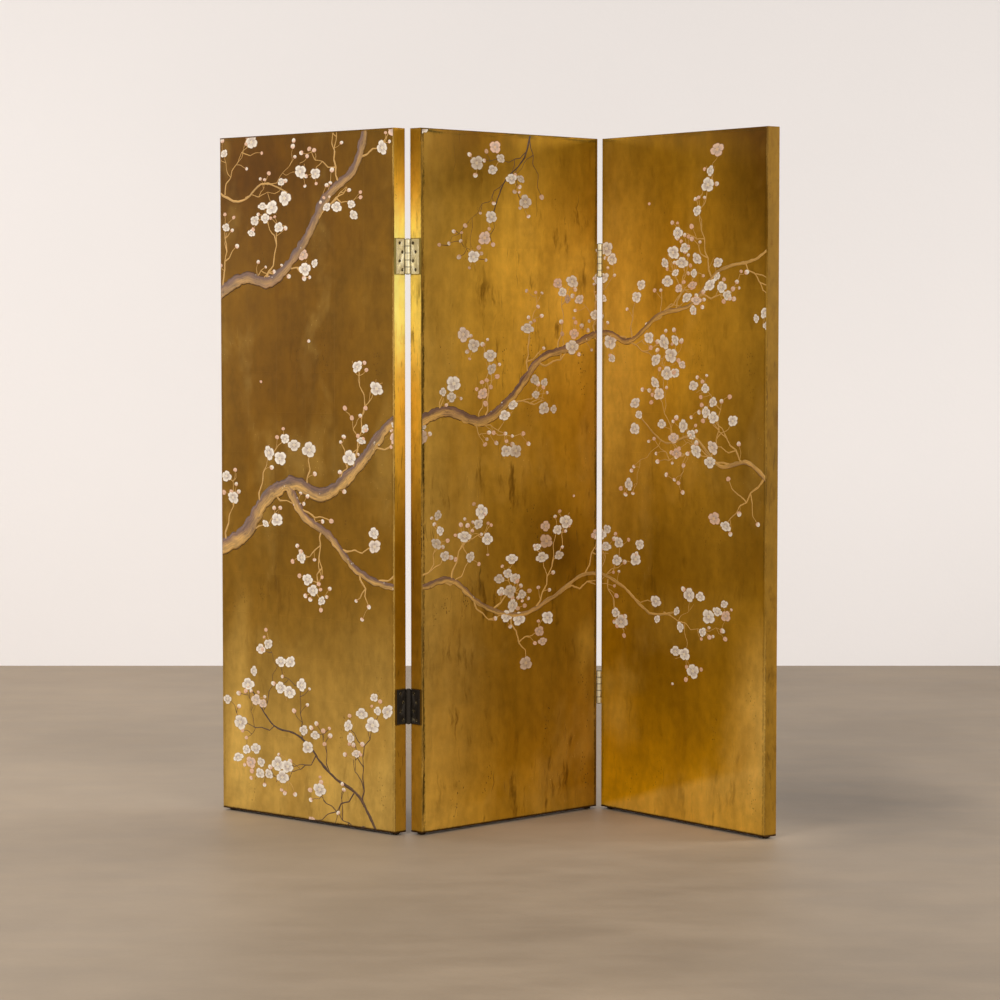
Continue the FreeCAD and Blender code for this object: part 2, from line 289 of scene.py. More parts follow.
class Net:
    """A node tree under construction."""

    def __init__(self, tree):
        self.tree = tree

    def node(self, kind, settings=None, values=None):
        """Adds a node: its settings first, then the value or the link of each socket."""
        made = self.tree.nodes.new(kind)
        for name, value in (settings or {}).items():
            setattr(made, name, value)
        for key, value in (values or {}).items():
            target = find_socket(made.inputs, key)
            if isinstance(value, Field):
                value = value.socket
            if isinstance(value, bpy.types.NodeSocket):
                self.tree.links.new(value, target)
            else:
                target.default_value = value
        return made

    def field(self, kind, settings=None, values=None, output=0):
        """Adds a node and gives one of its outputs."""
        made = self.node(kind, settings, values)
        return Field(self, find_socket(made.outputs, output))

    def math(self, operation, *values):
        return self.field("ShaderNodeMath", {"operation": operation}, dict(enumerate(values)))

    def lesser(self, first, second):
        return self.math("MINIMUM", first, second)

    def greater(self, first, second):
        return self.math("MAXIMUM", first, second)

    def unsigned(self, value):
        return self.math("ABSOLUTE", value)

    def step(self, value, low, high):
        """0 where the value is under low, 1 over high, and smooth between them."""
        settings = {"interpolation_type": "SMOOTHSTEP", "clamp": True}
        values = {"Value": value, "From Min": low, "From Max": high}
        return self.field("ShaderNodeMapRange", settings, values)

    def vector_math(self, operation, *values, output=0):
        return self.field("ShaderNodeVectorMath", {"operation": operation}, dict(enumerate(values)), output)

    def scaled(self, place, factors):
        return self.vector_math("MULTIPLY", place, factors)

    def moved(self, place, shift, factors=None):
        """A place moved by a shift, whose three parts are scaled first where factors are given."""
        return self.vector_math("ADD", place, self.scaled(shift, factors) if factors else shift)

    def length(self, vector):
        return self.vector_math("LENGTH", vector, output="Value")

    def split(self, vector):
        """The three parts of a vector."""
        made = self.node("ShaderNodeSeparateXYZ", values={"Vector": vector})
        return [Field(self, socket) for socket in made.outputs]

    def joined(self, x, y, z):
        """A vector from its three parts."""
        return self.field("ShaderNodeCombineXYZ", values={"X": x, "Y": y, "Z": z})

    def noise(self, place, scale, detail=3.0, roughness=0.55, output="Fac"):
        """Cloudy noise, about 0.5 on average."""
        values = {"Vector": place, "Scale": scale, "Detail": detail, "Roughness": roughness}
        return self.field("ShaderNodeTexNoise", {"noise_dimensions": "3D"}, values, output)

    def streaks(self, place, stretch, detail=3.0, roughness=0.55, scale=1):
        """Noise drawn out along a panel: the greater its stretch in a direction, the finer it is there."""
        return self.noise(self.scaled(place, stretch), scale, detail, roughness)

    def swirl(self, place, scale, detail=3.0):
        """A vector that wanders from place to place, about 0.5 in each part."""
        return self.noise(place, scale, detail, output="Color")

    def cells(self, place, scale, feature="F1"):
        """The distance to scattered points, or to the borders between their cells."""
        values = {"Vector": place, "Scale": scale}
        return self.field("ShaderNodeTexVoronoi", {"feature": feature}, values, "Distance")

    def dots(self, place, scale, full, gone):
        """Round dots: 1 out to one share of a cell, and 0 beyond another."""
        return 1 - self.step(self.cells(place, scale), full, gone)


class Finish(Net):
    """A material under construction, whose colour is laid on in coats."""

    def __init__(self, name):
        self.material = bpy.data.materials.new(name)
        self.material.use_nodes = True
        super().__init__(self.material.node_tree)
        self.tree.nodes.clear()
        self.colour = None

    def object_place(self):
        return self.field("ShaderNodeTexCoord", output="Object")

    def panel_place(self, panel):
        """The place in the panel's own frame."""
        values = {"Vector": self.object_place(), "Location": panel.origin, "Rotation": (0, 0, panel.turn)}
        return self.field("ShaderNodeMapping", {"vector_type": "TEXTURE"}, values)

    def attribute(self, name, output="Fac"):
        return self.field("ShaderNodeAttribute", {"attribute_name": name}, output=output)

    def blend(self, share, first, second):
        """A colour between two, by a share from 0 to 1."""
        colours = [colour if isinstance(colour, Field) else opaque(colour[:3]) for colour in (first, second)]
        values = {"Factor_Float": share, "A_Color": colours[0], "B_Color": colours[1]}
        settings = {"data_type": "RGBA", "clamp_factor": True}
        return self.field("ShaderNodeMix", settings, values, "Result_Color")

    def toned(self, colour, factor):
        """A colour made lighter or darker."""
        return self.field("ShaderNodeVectorMath", {"operation": "SCALE"}, {0: colour, "Scale": factor})

    def coat(self, share, colour):
        """Lays a colour over what is there, by a share from 0 to 1."""
        self.colour = self.blend(share, self.colour, colour)

    def tone(self, factor):
        """Makes what is there lighter or darker."""
        self.colour = self.toned(self.colour, factor)

    def surface(self, values, relief, relief_depth):
        """Ends the material in one shader, and gives the material."""
        bump = {"Height": relief, "Distance": relief_depth, "Strength": 1.0}
        values = {"Base Color": self.colour, **values, "Normal": self.field("ShaderNodeBump", values=bump)}
        shader = self.node("ShaderNodeBsdfPrincipled", values=values)
        self.node("ShaderNodeOutputMaterial", values={"Surface": shader.outputs[0]})
        return self.material


# Gold leaf


Spot = namedtuple("Spot", "pigment x z reach_x reach_z strength")

# Where the leaf is bright, deep, dark or rubbed pale, partly its own patina and partly painted reflections
# and painted shade: the middle of each soft spot and its reach, in shares of the panel's width and height,
# and how strong it is
PATINA_AND_REFLECTIONS = {
    "left": [
        Spot("umber", 0.40, 0.65, 0.70, 0.30, 0.60),
        Spot("umber", 0.10, 0.95, 1.25, 0.20, 0.90),
        Spot("sand", 0.85, 0.05, 2.00, 0.25, 0.52),
        Spot("sand", 0.10, 0.10, 0.10, 0.25, 0.40),
    ],
    "middle": [
        Spot("gold", 0.05, 0.70, 1.20, 0.40, 0.30),
        Spot("gold", 0.55, 0.90, 0.40, 0.40, 0.75),
        Spot("umber", 0.30, 1.00, 0.35, 0.15, 0.90),
        Spot("umber", 0.75, 1.00, 0.40, 0.15, 0.65),
        Spot("umber", 0.50, 1.02, 0.60, 0.06, 0.70),
        Spot("amber", 1.10, 0.70, 1.10, 0.70, 0.30),
        Spot("umber", 0.75, 0.40, 0.20, 0.10, 0.65),
        Spot("amber", 0.15, -0.05, 1.20, 0.28, 0.40),
        Spot("gold", 0.85, 0.75, 0.30, 0.15, 0.70),
        Spot("sand", -0.10, -0.05, 0.50, 1.20, 0.35),
        Spot("gold", 0.93, 0.23, 0.11, 0.04, 0.45),
        Spot("gold", 1.00, 0.14, 0.16, 0.10, 0.16),
    ],
    "right": [
        Spot("amber", 0.10, -0.10, 2.30, 1.20, 1.00),
        Spot("gold", 0.05, 0.65, 0.35, 0.35, 1.00),
        Spot("gold", 0.80, 0.55, 0.80, 0.40, 0.40),
        Spot("umber", 1.00, 1.10, 0.35, 0.40, 1.00),
        Spot("umber", 0.65, 1.02, 0.60, 0.06, 0.80),
        Spot("umber", 0.95, 0.50, 0.35, 0.30, 0.65),
        Spot("umber", 0.40, 0.30, 0.80, 0.30, 0.70),
        Spot("gold", 0.50, 0.30, 0.50, 0.05, 0.20),
        Spot("sand", 1.05, 0.15, 0.30, 0.15, 0.75),
        Spot("gold", 0.10, 0.15, 0.15, 0.04, 0.55),
        Spot("gold", 0.05, 0.19, 0.06, 0.02, 0.45),
        Spot("gold", 0.17, 0.20, 0.12, 0.03, 0.40),
    ],
}

# A painted reflection of the floor: under a line that rises across a panel the leaf is painted pale. Its
# height on the left, its slope and its strength
FLOOR_REFLECTIONS = {"left": (0.02, 0.0, 0.0), "middle": (0.055, 0.0, 0.06), "right": (-0.005, 0.29, 0.34)}

# How grimy the left and right borders of a front are
GRIME = {"left": (0.15, 0.10), "middle": (1.0, 0.55), "right": (0.3, 0.25)}

# How far the outermost line of the left and right borders is painted pale: rubbed leaf together with a
# painted highlight on the rounded edge
BORDER_RUB_AND_HIGHLIGHT = {"left": (0.1, 0.7), "middle": (0.25, 0.1), "right": (0.1, 0.35)}

# How strongly a painted highlight, standing in for a reflection of the lamps, lies on the left and right
# side faces
SIDE_HIGHLIGHT = {"left": (0.0, 1.0), "middle": (0.68, 0.0), "right": (0.0, 0.0)}

# Painted shade: how light the leaf is painted on side faces without the painted highlight
SIDE_SHADE = {"left": 1.0, "middle": 1.0, "right": 0.86}

# Whether the left and right side faces carry hinges
HINGED_SIDES = {"left": (0.0, 1.0), "middle": (1.0, 1.0), "right": (1.0, 0.0)}

# How far a panel's front is scratched and streaked, and how far its edges are worn
SCRATCHING = {"left": 0.30, "middle": 1.0, "right": 0.30}
EDGE_WEAR = {"left": 0.40, "middle": 1.0, "right": 0.45}

# Between these depths a front or a back passes into a side face
FACE_DEPTH = 0.4 * MILLIMETRE
SIDE_DEPTH = 1.6 * MILLIMETRE


class Gilding(Finish):
    """Old gold leaf on one panel, with its patina, leaf squares, streaks, scratches and worn edges, and
    painted reflections, highlights and shade.
    """

    def __init__(self, panel, look):
        super().__init__(f"{panel.name}_gilding")
        self.panel = panel
        self.look = look
        self.place = self.panel_place(panel)
        self.x, self.depth, self.z = self.split(self.place)
        self.to_side = self.lesser(self.x, panel.width - self.x)

        # The painted face, the side faces, and the half that a place lies in
        self.front = 1 - self.step(self.depth, FACE_DEPTH, SIDE_DEPTH)
        back = self.step(self.depth, panel.thickness - SIDE_DEPTH, panel.thickness - FACE_DEPTH)
        self.aside = (1 - self.front) * (1 - back)
        self.hand = self.step(self.x, 0.4 * panel.width, 0.6 * panel.width)
        # A painted highlight on the side faces, in place of a reflection
        self.side_highlight = self.across(SIDE_HIGHLIGHT)

        # Noises that more than one coat follows
        place = self.place
        self.drift = self.vector_math("SUBTRACT", self.swirl(place, 2.6), (0.5, 0.5, 0.5))
        self.wandering = self.moved(place, self.drift, (0.16, 0, 0.30))
        self.cloud = self.streaks(self.wandering, (1, 1, 0.55), 5, 0.62, scale=8)
        self.mottle = self.streaks(place, (1, 1, 0.7), 3, 0.58, scale=40)
        swerving = self.moved(place, self.swirl(place, 7, 2), (0.035, 0, 0))
        self.rub = self.streaks(swerving, (30, 30, 3.6), 2.5, 0.5)
        self.brushed = self.streaks(place, (5, 5, 30), 3, 0.6)
        self.wear_patches = self.step(self.streaks(place, (1, 1, 0.35), scale=13), 0.44, 0.62)
        self.rough_line = self.streaks(place, (1, 1, 0.45), 3, 0.7, scale=210)

    def across(self, table):
        """What a table gives for the panel's left or right half, whichever the place lies in."""
        left, right = table[self.panel.name]
        return left + (right - left) * self.hand

    def finished(self):
        """Lays the coats in their order, and gives the material."""
        self.lay_patina_and_reflections()
        self.lay_side_leaf_and_highlight()
        self.tone(self.clouds() + self.squares())
        self.lay_haze()
        self.lay_scratches()
        self.lay_grime()
        self.lay_worn_edges()
        bare = self.greater(self.worn * 0.6, self.greater(self.nicks, self.pitted))
        rough = 0.38 + self.cloud * 0.10 + self.rub * 0.06 + bare * 0.25
        height = self.mottle * 0.35 + self.rub * 0.25 + self.lap * 0.25 + self.brushed * 0.15
        height = height - self.hairlines * 0.8 - bare * 0.9
        values = {"Metallic": 0.42 - bare * 0.3, "Roughness": rough, "Specular IOR Level": 0.03}
        return self.surface(values, height, 0.35 * MILLIMETRE)

    def lay_patina_and_reflections(self):
        """Dull leaf with soft bright, deep, dark and pale spots, partly patina and partly painted
        reflections and shade, and a painted reflection of the floor under a rising line.
        """
        self.colour = opaque(self.look.olive)
        # Soft spots of patina, some of them painted reflections and painted shade
        for spot in PATINA_AND_REFLECTIONS[self.panel.name]:
            self.coat(self.spot_share(spot), getattr(self.look, spot.pigment))
        # A painted reflection of the floor: the leaf painted pale under a rising line
        height, slope, strength = FLOOR_REFLECTIONS[self.panel.name]
        x, _, z = self.split(self.moved(self.place, self.drift, (0, 0, 0.03)))
        under = 1 - self.step(z - slope * x, height - 0.008, height + 0.022)
        self.coat(under * strength, self.look.sand)

    def spot_share(self, spot):
        """How far a place lies inside a soft spot, times the spot's strength."""
        panel = self.panel
        centre = (spot.x * panel.width, 0, spot.z * panel.height)
        reaches = (1 / (spot.reach_x * panel.width), 0, 1 / (spot.reach_z * panel.height))
        offset = self.vector_math("SUBTRACT", self.wandering, centre)
        return (1 - self.step(self.length(self.scaled(offset, reaches)), 0.0, 1.25)) * spot.strength

    def lay_side_leaf_and_highlight(self):
        """The side faces, beaten harder and darkened upwards by painted shade; some carry a painted
        highlight around the upper hinge in place of a reflection.
        """
        look = self.look
        share = self.z / self.panel.height
        lit = self.step(share, 0.39, 0.62) * (1 - self.step(share, 0.88, 1.00) * 0.85)
        self.peak = self.step(share, 0.60, 0.76) * (1 - self.step(share, 0.84, 0.93))
        foot_light = (1 - self.step(share, 0.08, 0.3)) * 0.3
        # Painted shade: the side faces darker upwards, and darker overall on the right panel
        painted_shading = (1.34 - self.step(share, 0.0, 0.62) * 0.58) * SIDE_SHADE[self.panel.name]
        streak = self.step(self.streaks(self.place, (40, 40, 3)), 0.3, 0.6)
        side = self.toned(between(look.olive, look.gold, 0.08), painted_shading)
        side = self.blend(self.side_highlight, side, look.honey)
        side = self.blend(self.side_highlight * foot_light, side, look.gold)
        side = self.blend(self.side_highlight * lit, side, look.marigold)
        side = self.blend(self.side_highlight * self.side_highlight * self.peak * (0.7 + 0.3 * streak), side, look.straw)
        self.coat(self.aside, side)

    def clouds(self):
        """The tone of the leaf's clouds, fine mottling and long rubbed streaks, with the painted highlight
        brightened on the side faces.
        """
        streaking = SCRATCHING[self.panel.name]
        tone = 0.63 + self.step(self.cloud, 0.28, 0.72) * 0.27 + self.step(self.mottle, 0.3, 0.7) * 0.17
        tone = tone + self.noise(self.place, 380, 2, 0.6) * 0.09
        tone = tone + self.step(self.rub, 0.3, 0.7) * (0.05 + 0.08 * streaking)
        tone = tone + self.brushed * 0.07 + 0.03 * streaking
        return tone + self.aside * self.side_highlight * (0.10 + self.peak * 0.18)

    def squares(self):
        """The tone of the squares of leaf: each lighter or darker, with a fine line where two lap."""
        square = self.look.square
        bent = self.moved(self.place, self.swirl(self.place, 30, 2), (0.0025, 0, 0.0025))
        cell = self.vector_math("DIVIDE", self.scaled(bent, (1, 0, 1)), (square, 1, square))
        whole = {"Vector": self.vector_math("FLOOR", cell)}
        shade = self.field("ShaderNodeTexWhiteNoise", {"noise_dimensions": "3D"}, whole, "Value")
        x, _, z = self.split(self.vector_math("FRACTION", cell))
        to_lap = self.lesser(self.lesser(x, 1 - x), self.lesser(z, 1 - z))
        self.lap = 1 - self.step(to_lap, 0.004, 0.012)
        return (shade - 0.5) * 0.035 + self.lap * 0.035

    def lay_haze(self):
        """Warm clouds in the leaf, then a dusty haze with pale scratches and flecks."""
        warmth = self.step(self.streaks(self.wandering, (1, 1, 0.45), scale=5.5), 0.48, 0.72)
        self.coat(warmth * (0.30 - 0.20 * self.aside), self.look.honey)
        haze = self.step(self.streaks(self.wandering, (1, 1, 0.8), 4, 0.62, scale=3.4), 0.50, 0.70)
        hairs = self.streaks(self.moved(self.wandering, (3.1, 0, 1.7)), (130, 130, 12), 2, 0.5)
        scratches = self.step(hairs, 0.67, 0.74) * haze
        flecks = self.dots(self.moved(self.place, (0.7, 0, 0.3)), 75, 0.06, 0.11) * haze
        pale = self.greater(haze * 0.14, self.greater(scratches * 0.5, flecks * 0.6))
        self.coat(pale * (1 - self.aside), self.look.sand)

    def lay_scratches(self):
        """Dark stains, hairline scratches, scuffed side faces and pits."""
        place = self.place
        streaking = SCRATCHING[self.panel.name]
        shiver = self.swirl(self.scaled(place, (1, 1, 0.6)), 26, 2)
        wavering = self.moved(self.moved(place, self.drift, (0.05, 0, 0)), shiver, (0.030, 0, 0))

        smears = self.step(self.streaks(wavering, (24, 24, 6), 4, 0.65), 0.54, 0.70)
        stain = smears * self.step(self.noise(place, 4.2, 2), 0.40, 0.56) * (0.15 + 0.55 * streaking)
        tarnish = self.step(self.streaks(place, (50, 50, 20), 4, 0.65), 0.50, 0.70)
        stain = self.greater(stain, tarnish * self.aside * (0.40 - 0.30 * self.side_highlight))
        self.coat(stain, self.look.umber)

        hairs = self.step(self.streaks(wavering, (170, 170, 7), 2, 0.5), 0.65, 0.72)
        patches = self.step(self.streaks(place, (1, 1, 0.7), scale=6.5), 0.44, 0.60)
        self.hairlines = hairs * patches * (0.15 + 0.85 * streaking)
        scuffs = self.step(self.streaks(place, (120, 120, 15)), 0.60, 0.68) * self.aside * self.wear_patches
        self.coat(self.hairlines * 0.6 + scuffs * 0.6, self.look.bole)

        specks = self.dots(self.scaled(place, (1, 1, 0.7)), 140, 0.13, 0.28)
        pit_patches = self.step(self.streaks(place, (14, 14, 4.5)), 0.60, 0.66)
        self.pitted = pit_patches * specks * (0.4 + 0.6 * streaking)
        self.coat(self.pitted * 0.8, self.look.bole)

    def lay_grime(self):
        """Grime along a front's borders and top, a pale outermost line of rubbed leaf and painted highlight,
        and dirt in the lip's seam.
        """
        place = self.place
        ragged = self.rough_line - 0.5
        griminess = self.across(GRIME)
        from_side = self.to_side - ragged * 0.016
        side_band = (1 - self.step(from_side, 0.006, 0.014)) * self.step(from_side, -0.001, 0.004)
        side_grime = side_band * self.step(self.streaks(place, (70, 70, 9), 4, 0.65), 0.43, 0.54)
        from_top = self.panel.height - self.z - ragged * 0.016
        top_blotch = self.step(self.streaks(place, (9, 9, 60), 4, 0.65), 0.46, 0.58)
        top_grime = (1 - self.step(from_top, 0.006, 0.016)) * top_blotch
        grime = self.greater(side_grime * self.front, top_grime * self.front)
        self.coat(grime * griminess * 0.9, self.look.grime)

        # A pale outermost line: rubbed leaf and a painted highlight on the rounded edge
        pale_edge_and_highlight = (1 - self.step(from_side, 0.003, 0.007)) * self.front * self.across(BORDER_RUB_AND_HIGHLIGHT)
        self.coat(pale_edge_and_highlight * self.step(self.rub, 0.35, 0.6) * 0.7, self.look.sand)

        border = (1 - self.step(self.to_side - ragged * 0.03, 0.002, 0.010)) * self.front
        self.coat(border * (0.30 * EDGE_WEAR[self.panel.name]), self.look.umber)

        from_seam = self.unsigned(self.to_side - LIP_SEAM)
        seam_dirt = (1 - self.step(from_seam, 0.0008, 0.0042)) * self.front
        seam_dirt = seam_dirt * self.step(self.rough_line, 0.38, 0.56)
        self.coat(seam_dirt * (0.3 + 0.6 * self.wear_patches) * griminess, self.look.bole)

    def lay_worn_edges(self):
        """Edges rubbed to the dark ground, side faces darkened round the hinges, a painted shadow along the
        foot, and nicks to the chalk.
        """
        look = self.look
        edge = self.edge_distance()
        ragged = edge - (self.rough_line - 0.42) * (look.wear * 4.5)
        self.worn = (1 - self.step(ragged, 0.0, look.wear * 0.6)) * (0.4 + 0.6 * EDGE_WEAR[self.panel.name])
        self.coat(self.worn * (0.35 + 0.45 * self.wear_patches), look.bole)

        # The hinged side faces darkened at each hinge's height
        hinged = self.across(HINGED_SIDES)
        for storey in ("upper", "lower"):
            low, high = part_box(f"left_{storey}_hinge_middle_leaf")
            from_middle = self.unsigned(self.z + (self.panel.origin.z - (low.z + high.z) / 2))
            beyond = from_middle - (high.z - low.z) / 2 + (self.rough_line - 0.5) * 0.004
            halo = (1 - self.step(beyond, 0.0008, 0.0040)) * self.aside * hinged
            self.coat(halo * 0.75, look.bole)

        # A painted shadow: the lowest few millimetres of every face darkened to stand for the dark gap under
        # the panel
        foot_shadow = 1 - self.step(self.z - self.rough_line * 0.004, 0.0015, 0.0045)
        self.coat(foot_shadow * 0.95, look.bole)

        nicked = edge - (self.rough_line - 0.66) * (look.wear * 9)
        self.nicks = (1 - self.step(nicked, 0.0, look.wear * 0.4)) * self.wear_patches
        self.coat(self.nicks * 0.8, look.chalk)

    def edge_distance(self):
        """The distance of a place on the panel's outside to the nearest edge of the block."""
        face = self.lesser(self.depth, self.panel.thickness - self.depth)
        end = self.lesser(self.z, self.panel.height - self.z)
        nearer = self.lesser(self.to_side, face)
        farther = self.greater(self.to_side, face)
        return self.greater(nearer, self.lesser(farther, end))


# Lacquer, timber and glides


def back_lacquer(panel, look):
    """Dark lacquer with cloudy fading, fine scratches, age cracks, worn edges and a dusty foot."""
    net = Finish(f"{panel.name}_lacquer")
    place = net.panel_place(panel)
    x, _, z = net.split(place)
    cloud = net.streaks(place, (1, 1, 0.7), 5, 0.6, scale=3.5)
    brushed = net.streaks(place, (40, 40, 1.2), 3, 0.6)
    net.colour = net.blend(net.step(cloud, 0.35, 0.75), look.deep, look.rubbed)
    net.tone(0.8 + brushed * 0.35)

    bent = net.moved(place, net.swirl(place, 40), (0.01, 0.01, 0.01))
    crack = net.cells(bent, 55, feature="DISTANCE_TO_EDGE")
    cracked = (1 - net.step(crack, 0.0, 0.03)) * net.step(net.noise(place, 5, 2), 0.5, 0.65)
    net.tone(1 - cracked * 0.35)

    ragged = net.streaks(place, (1, 1, 0.4), 4, 0.65, scale=55)
    to_edge = net.lesser(net.lesser(x, panel.width - x), net.lesser(z, panel.height - z))
    worn_edge = 1 - net.step(to_edge - ragged * 0.030, -0.004, 0.003)
    worn_edge = worn_edge * net.step(net.noise(place, 7, 3), 0.40, 0.56)
    net.coat(worn_edge * 0.75, look.undercoat)

    hairs = net.streaks(net.moved(place, net.swirl(place, 5, 2), (0.08, 0, 0)), (150, 150, 6), 2, 0.5)
    scratches = net.step(hairs, 0.66, 0.73) * net.step(net.noise(place, 4.5, 2), 0.45, 0.60)
    net.coat(scratches * 0.45, look.scratch)

    dust = net.noise(place, 260, 2)
    near_foot = 1 - net.step(z + (cloud - 0.5) * 0.5, 0.02, 0.34)
    dusty = near_foot * (0.25 + net.step(dust, 0.45, 0.65) * 0.35)
    net.coat(dusty * 0.6, look.dust)

    rough = 0.32 + cloud * 0.16 + net.step(dust, 0.55, 0.75) * 0.12 + dusty * 0.2 + worn_edge * 0.2
    height = brushed * 0.4 - cracked * 1.0 + dust * 0.15 - worn_edge * 0.6 - scratches * 0.4
    values = {"Roughness": rough, "Coat Weight": 0.25, "Coat Roughness": 0.3}
    return net.surface(values, height, 0.2 * MILLIMETRE)


def cedar(look):
    """Straight-grained softwood, whose grain runs up the uprights and wanders a little."""
    net = Finish("lattice_cedar")
    place = net.object_place()
    bent = net.moved(place, net.swirl(place, 2.2), (0.03, 0.03, 0.03))
    band = net.streaks(bent, (130, 130, 3.5), 2)
    pore = net.streaks(place, (900, 900, 30), 2)
    net.colour = net.blend(net.step(band, 0.35, 0.65), look.early, look.late)
    net.tone(0.86 + pore * 0.28)
    return net.surface({"Roughness": 0.55 + pore * 0.2}, band * 0.5 + pore * 0.5, 0.3 * MILLIMETRE)


def glide_finish(look):
    """Domed steel with a dull dark finish, scuffed pale where it has slid."""
    net = Finish("glide_steel")
    place = net.object_place()
    _, _, z = net.split(place)
    scuff = net.streaks(place, (300, 300, 40))
    rubbed = (1 - net.step(z, 0.0, 1.5 * MILLIMETRE)) * net.step(scuff, 0.4, 0.6)
    net.colour = net.blend(rubbed, look.glide, look.scuffed)
    net.tone(0.8 + net.noise(place, 150) * 0.4)
    return net.surface({"Metallic": 0.8, "Roughness": 0.35 + scuff * 0.25}, scuff, 0.1 * MILLIMETRE)


# Brass


def brass(name, look, hinge, blackened):
    """Worn brass: bright where rubbed, dull in the clouds, specked with tarnish, dark in the joints, and
    with painted shade in the crease where the barrel meets the leaves.
    """
    net = Finish(name)
    place = net.object_place()
    low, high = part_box(f"{hinge}_middle_leaf")
    pin_low, pin_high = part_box(f"{hinge}_pin")
    axis = (pin_low + pin_high) / 2
    from_axis = net.vector_math("SUBTRACT", place, (axis.x, axis.y, low.z))
    reach = net.length(net.scaled(from_axis, (1, 1, 0)))
    _, _, rise = net.split(from_axis)
    turns = rise * (KNUCKLES / (high.z - low.z))
    to_joint = net.unsigned(turns - net.math("ROUND", turns))
    joint = (1 - net.step(to_joint, 0.03, 0.12)) * (1 - net.step(reach, 0.0070, 0.0085))
    # Painted shade: the crease where the barrel meets the leaves darkened with the patina colour
    crease = net.step(reach, 0.00755, 0.00770) * (1 - net.step(reach, 0.0079, 0.0115))
    cloud = net.noise(place, 42, 4, 0.6)
    fine = net.noise(place, 420, 3, 0.6)
    drawn = net.streaks(place, (500, 500, 60), 3, 0.6)
    spots = net.dots(place, 330, 0.10, 0.30) * net.step(net.noise(place, 95, 2), 0.50, 0.62)

    net.colour = net.blend(net.step(cloud, 0.42, 0.78), look.bright, look.dull)
    net.coat(spots * 0.6, look.patina)
    net.coat(joint * 0.8, look.patina)
    net.coat(crease * 0.85, look.patina)
    rough = 0.30 + cloud * 0.15 + drawn * 0.1
    metal = 0.7 - spots * 0.3
    if blackened:
        rubbed_through = net.step(cloud * 0.7 + fine * 0.3, 0.60, 0.70) * 0.5
        net.colour = net.blend(rubbed_through, look.patina, net.toned(net.colour, 0.75))
        rough = rough + 0.18 - rubbed_through * 0.2
        metal = 0.45 + rubbed_through * 0.6
    net.tone(0.90 + drawn * 0.13 + fine * 0.10)
    return net.surface({"Metallic": metal, "Roughness": rough}, drawn * 0.6 + fine * 0.4, 0.06 * MILLIMETRE)


def screw_finish(look):
    """Screws darkened in their slots, with a little brass showing."""
    net = Finish("screw_brass")
    place = net.object_place()
    cloud = net.noise(place, 260)
    net.colour = net.blend(net.step(cloud, 0.5, 0.72), look.screw, look.dull)
    net.tone(0.75 + net.noise(place, 900, 2) * 0.5)
    return net.surface({"Metallic": 0.7, "Roughness": 0.35 + cloud * 0.25}, cloud, 0.05 * MILLIMETRE)


# Paint


def bark_paint(look):
    """Boughs and twigs in thick paint: lit on one side, shaded on the other, outlined and marked."""
    net = Finish("bark_paint")
    place = net.object_place()
    across, along, girth, shade = [net.attribute(name) for name in ("across", "along", "girth", "shade")]
    thick = net.step(girth, 0.003, 0.010)
    stroke = net.joined(along, across * 0.02, shade)
    fibre = net.streaks(stroke, (26, 260, 1), 4, 0.65)
    patch = net.streaks(stroke, (14, 40, 1), 4, 0.6)

    light_side = net.step(across + (patch - 0.5) * 1.3, -0.60, 0.30)
    pale_body = net.blend(light_side, look.bark, look.lit_bark)
    dark_body = net.blend(light_side * 0.45, look.bark, look.lit_bark)
    body = net.blend(net.step(shade, 0.6, 0.9), pale_body, dark_body)
    slim = net.blend(net.step(shade, 0.35, 0.65), look.lit_bark, look.dark_bark)
    net.colour = net.blend(thick, slim, body)

    worn_patch = net.step(net.streaks(stroke, (9, 26, 1)), 0.5, 0.68) * thick
    net.coat(worn_patch * 0.45, look.mauve)
    net.tone(0.56 + net.step(fibre, 0.34, 0.66) * 0.50 + net.step(patch, 0.3, 0.7) * 0.34)
    crease = net.step(net.streaks(stroke, (60, 130, 1), 2), 0.62, 0.70) * thick
    net.coat(crease * 0.5, look.dark_bark)
    rim = net.step(net.unsigned(across), 0.78, 0.97) * thick
    net.coat(rim * 0.55, look.dark_bark)
    lichen = net.dots(place, 95, 0.12, 0.24) * net.step(net.noise(place, 22, 2), 0.60, 0.66) * thick
    net.coat(lichen * 0.7, look.petal)
    height = fibre * 0.8 + patch * 0.5 + lichen
    return net.surface({"Roughness": 0.5 + patch * 0.2}, height, 0.4 * MILLIMETRE)


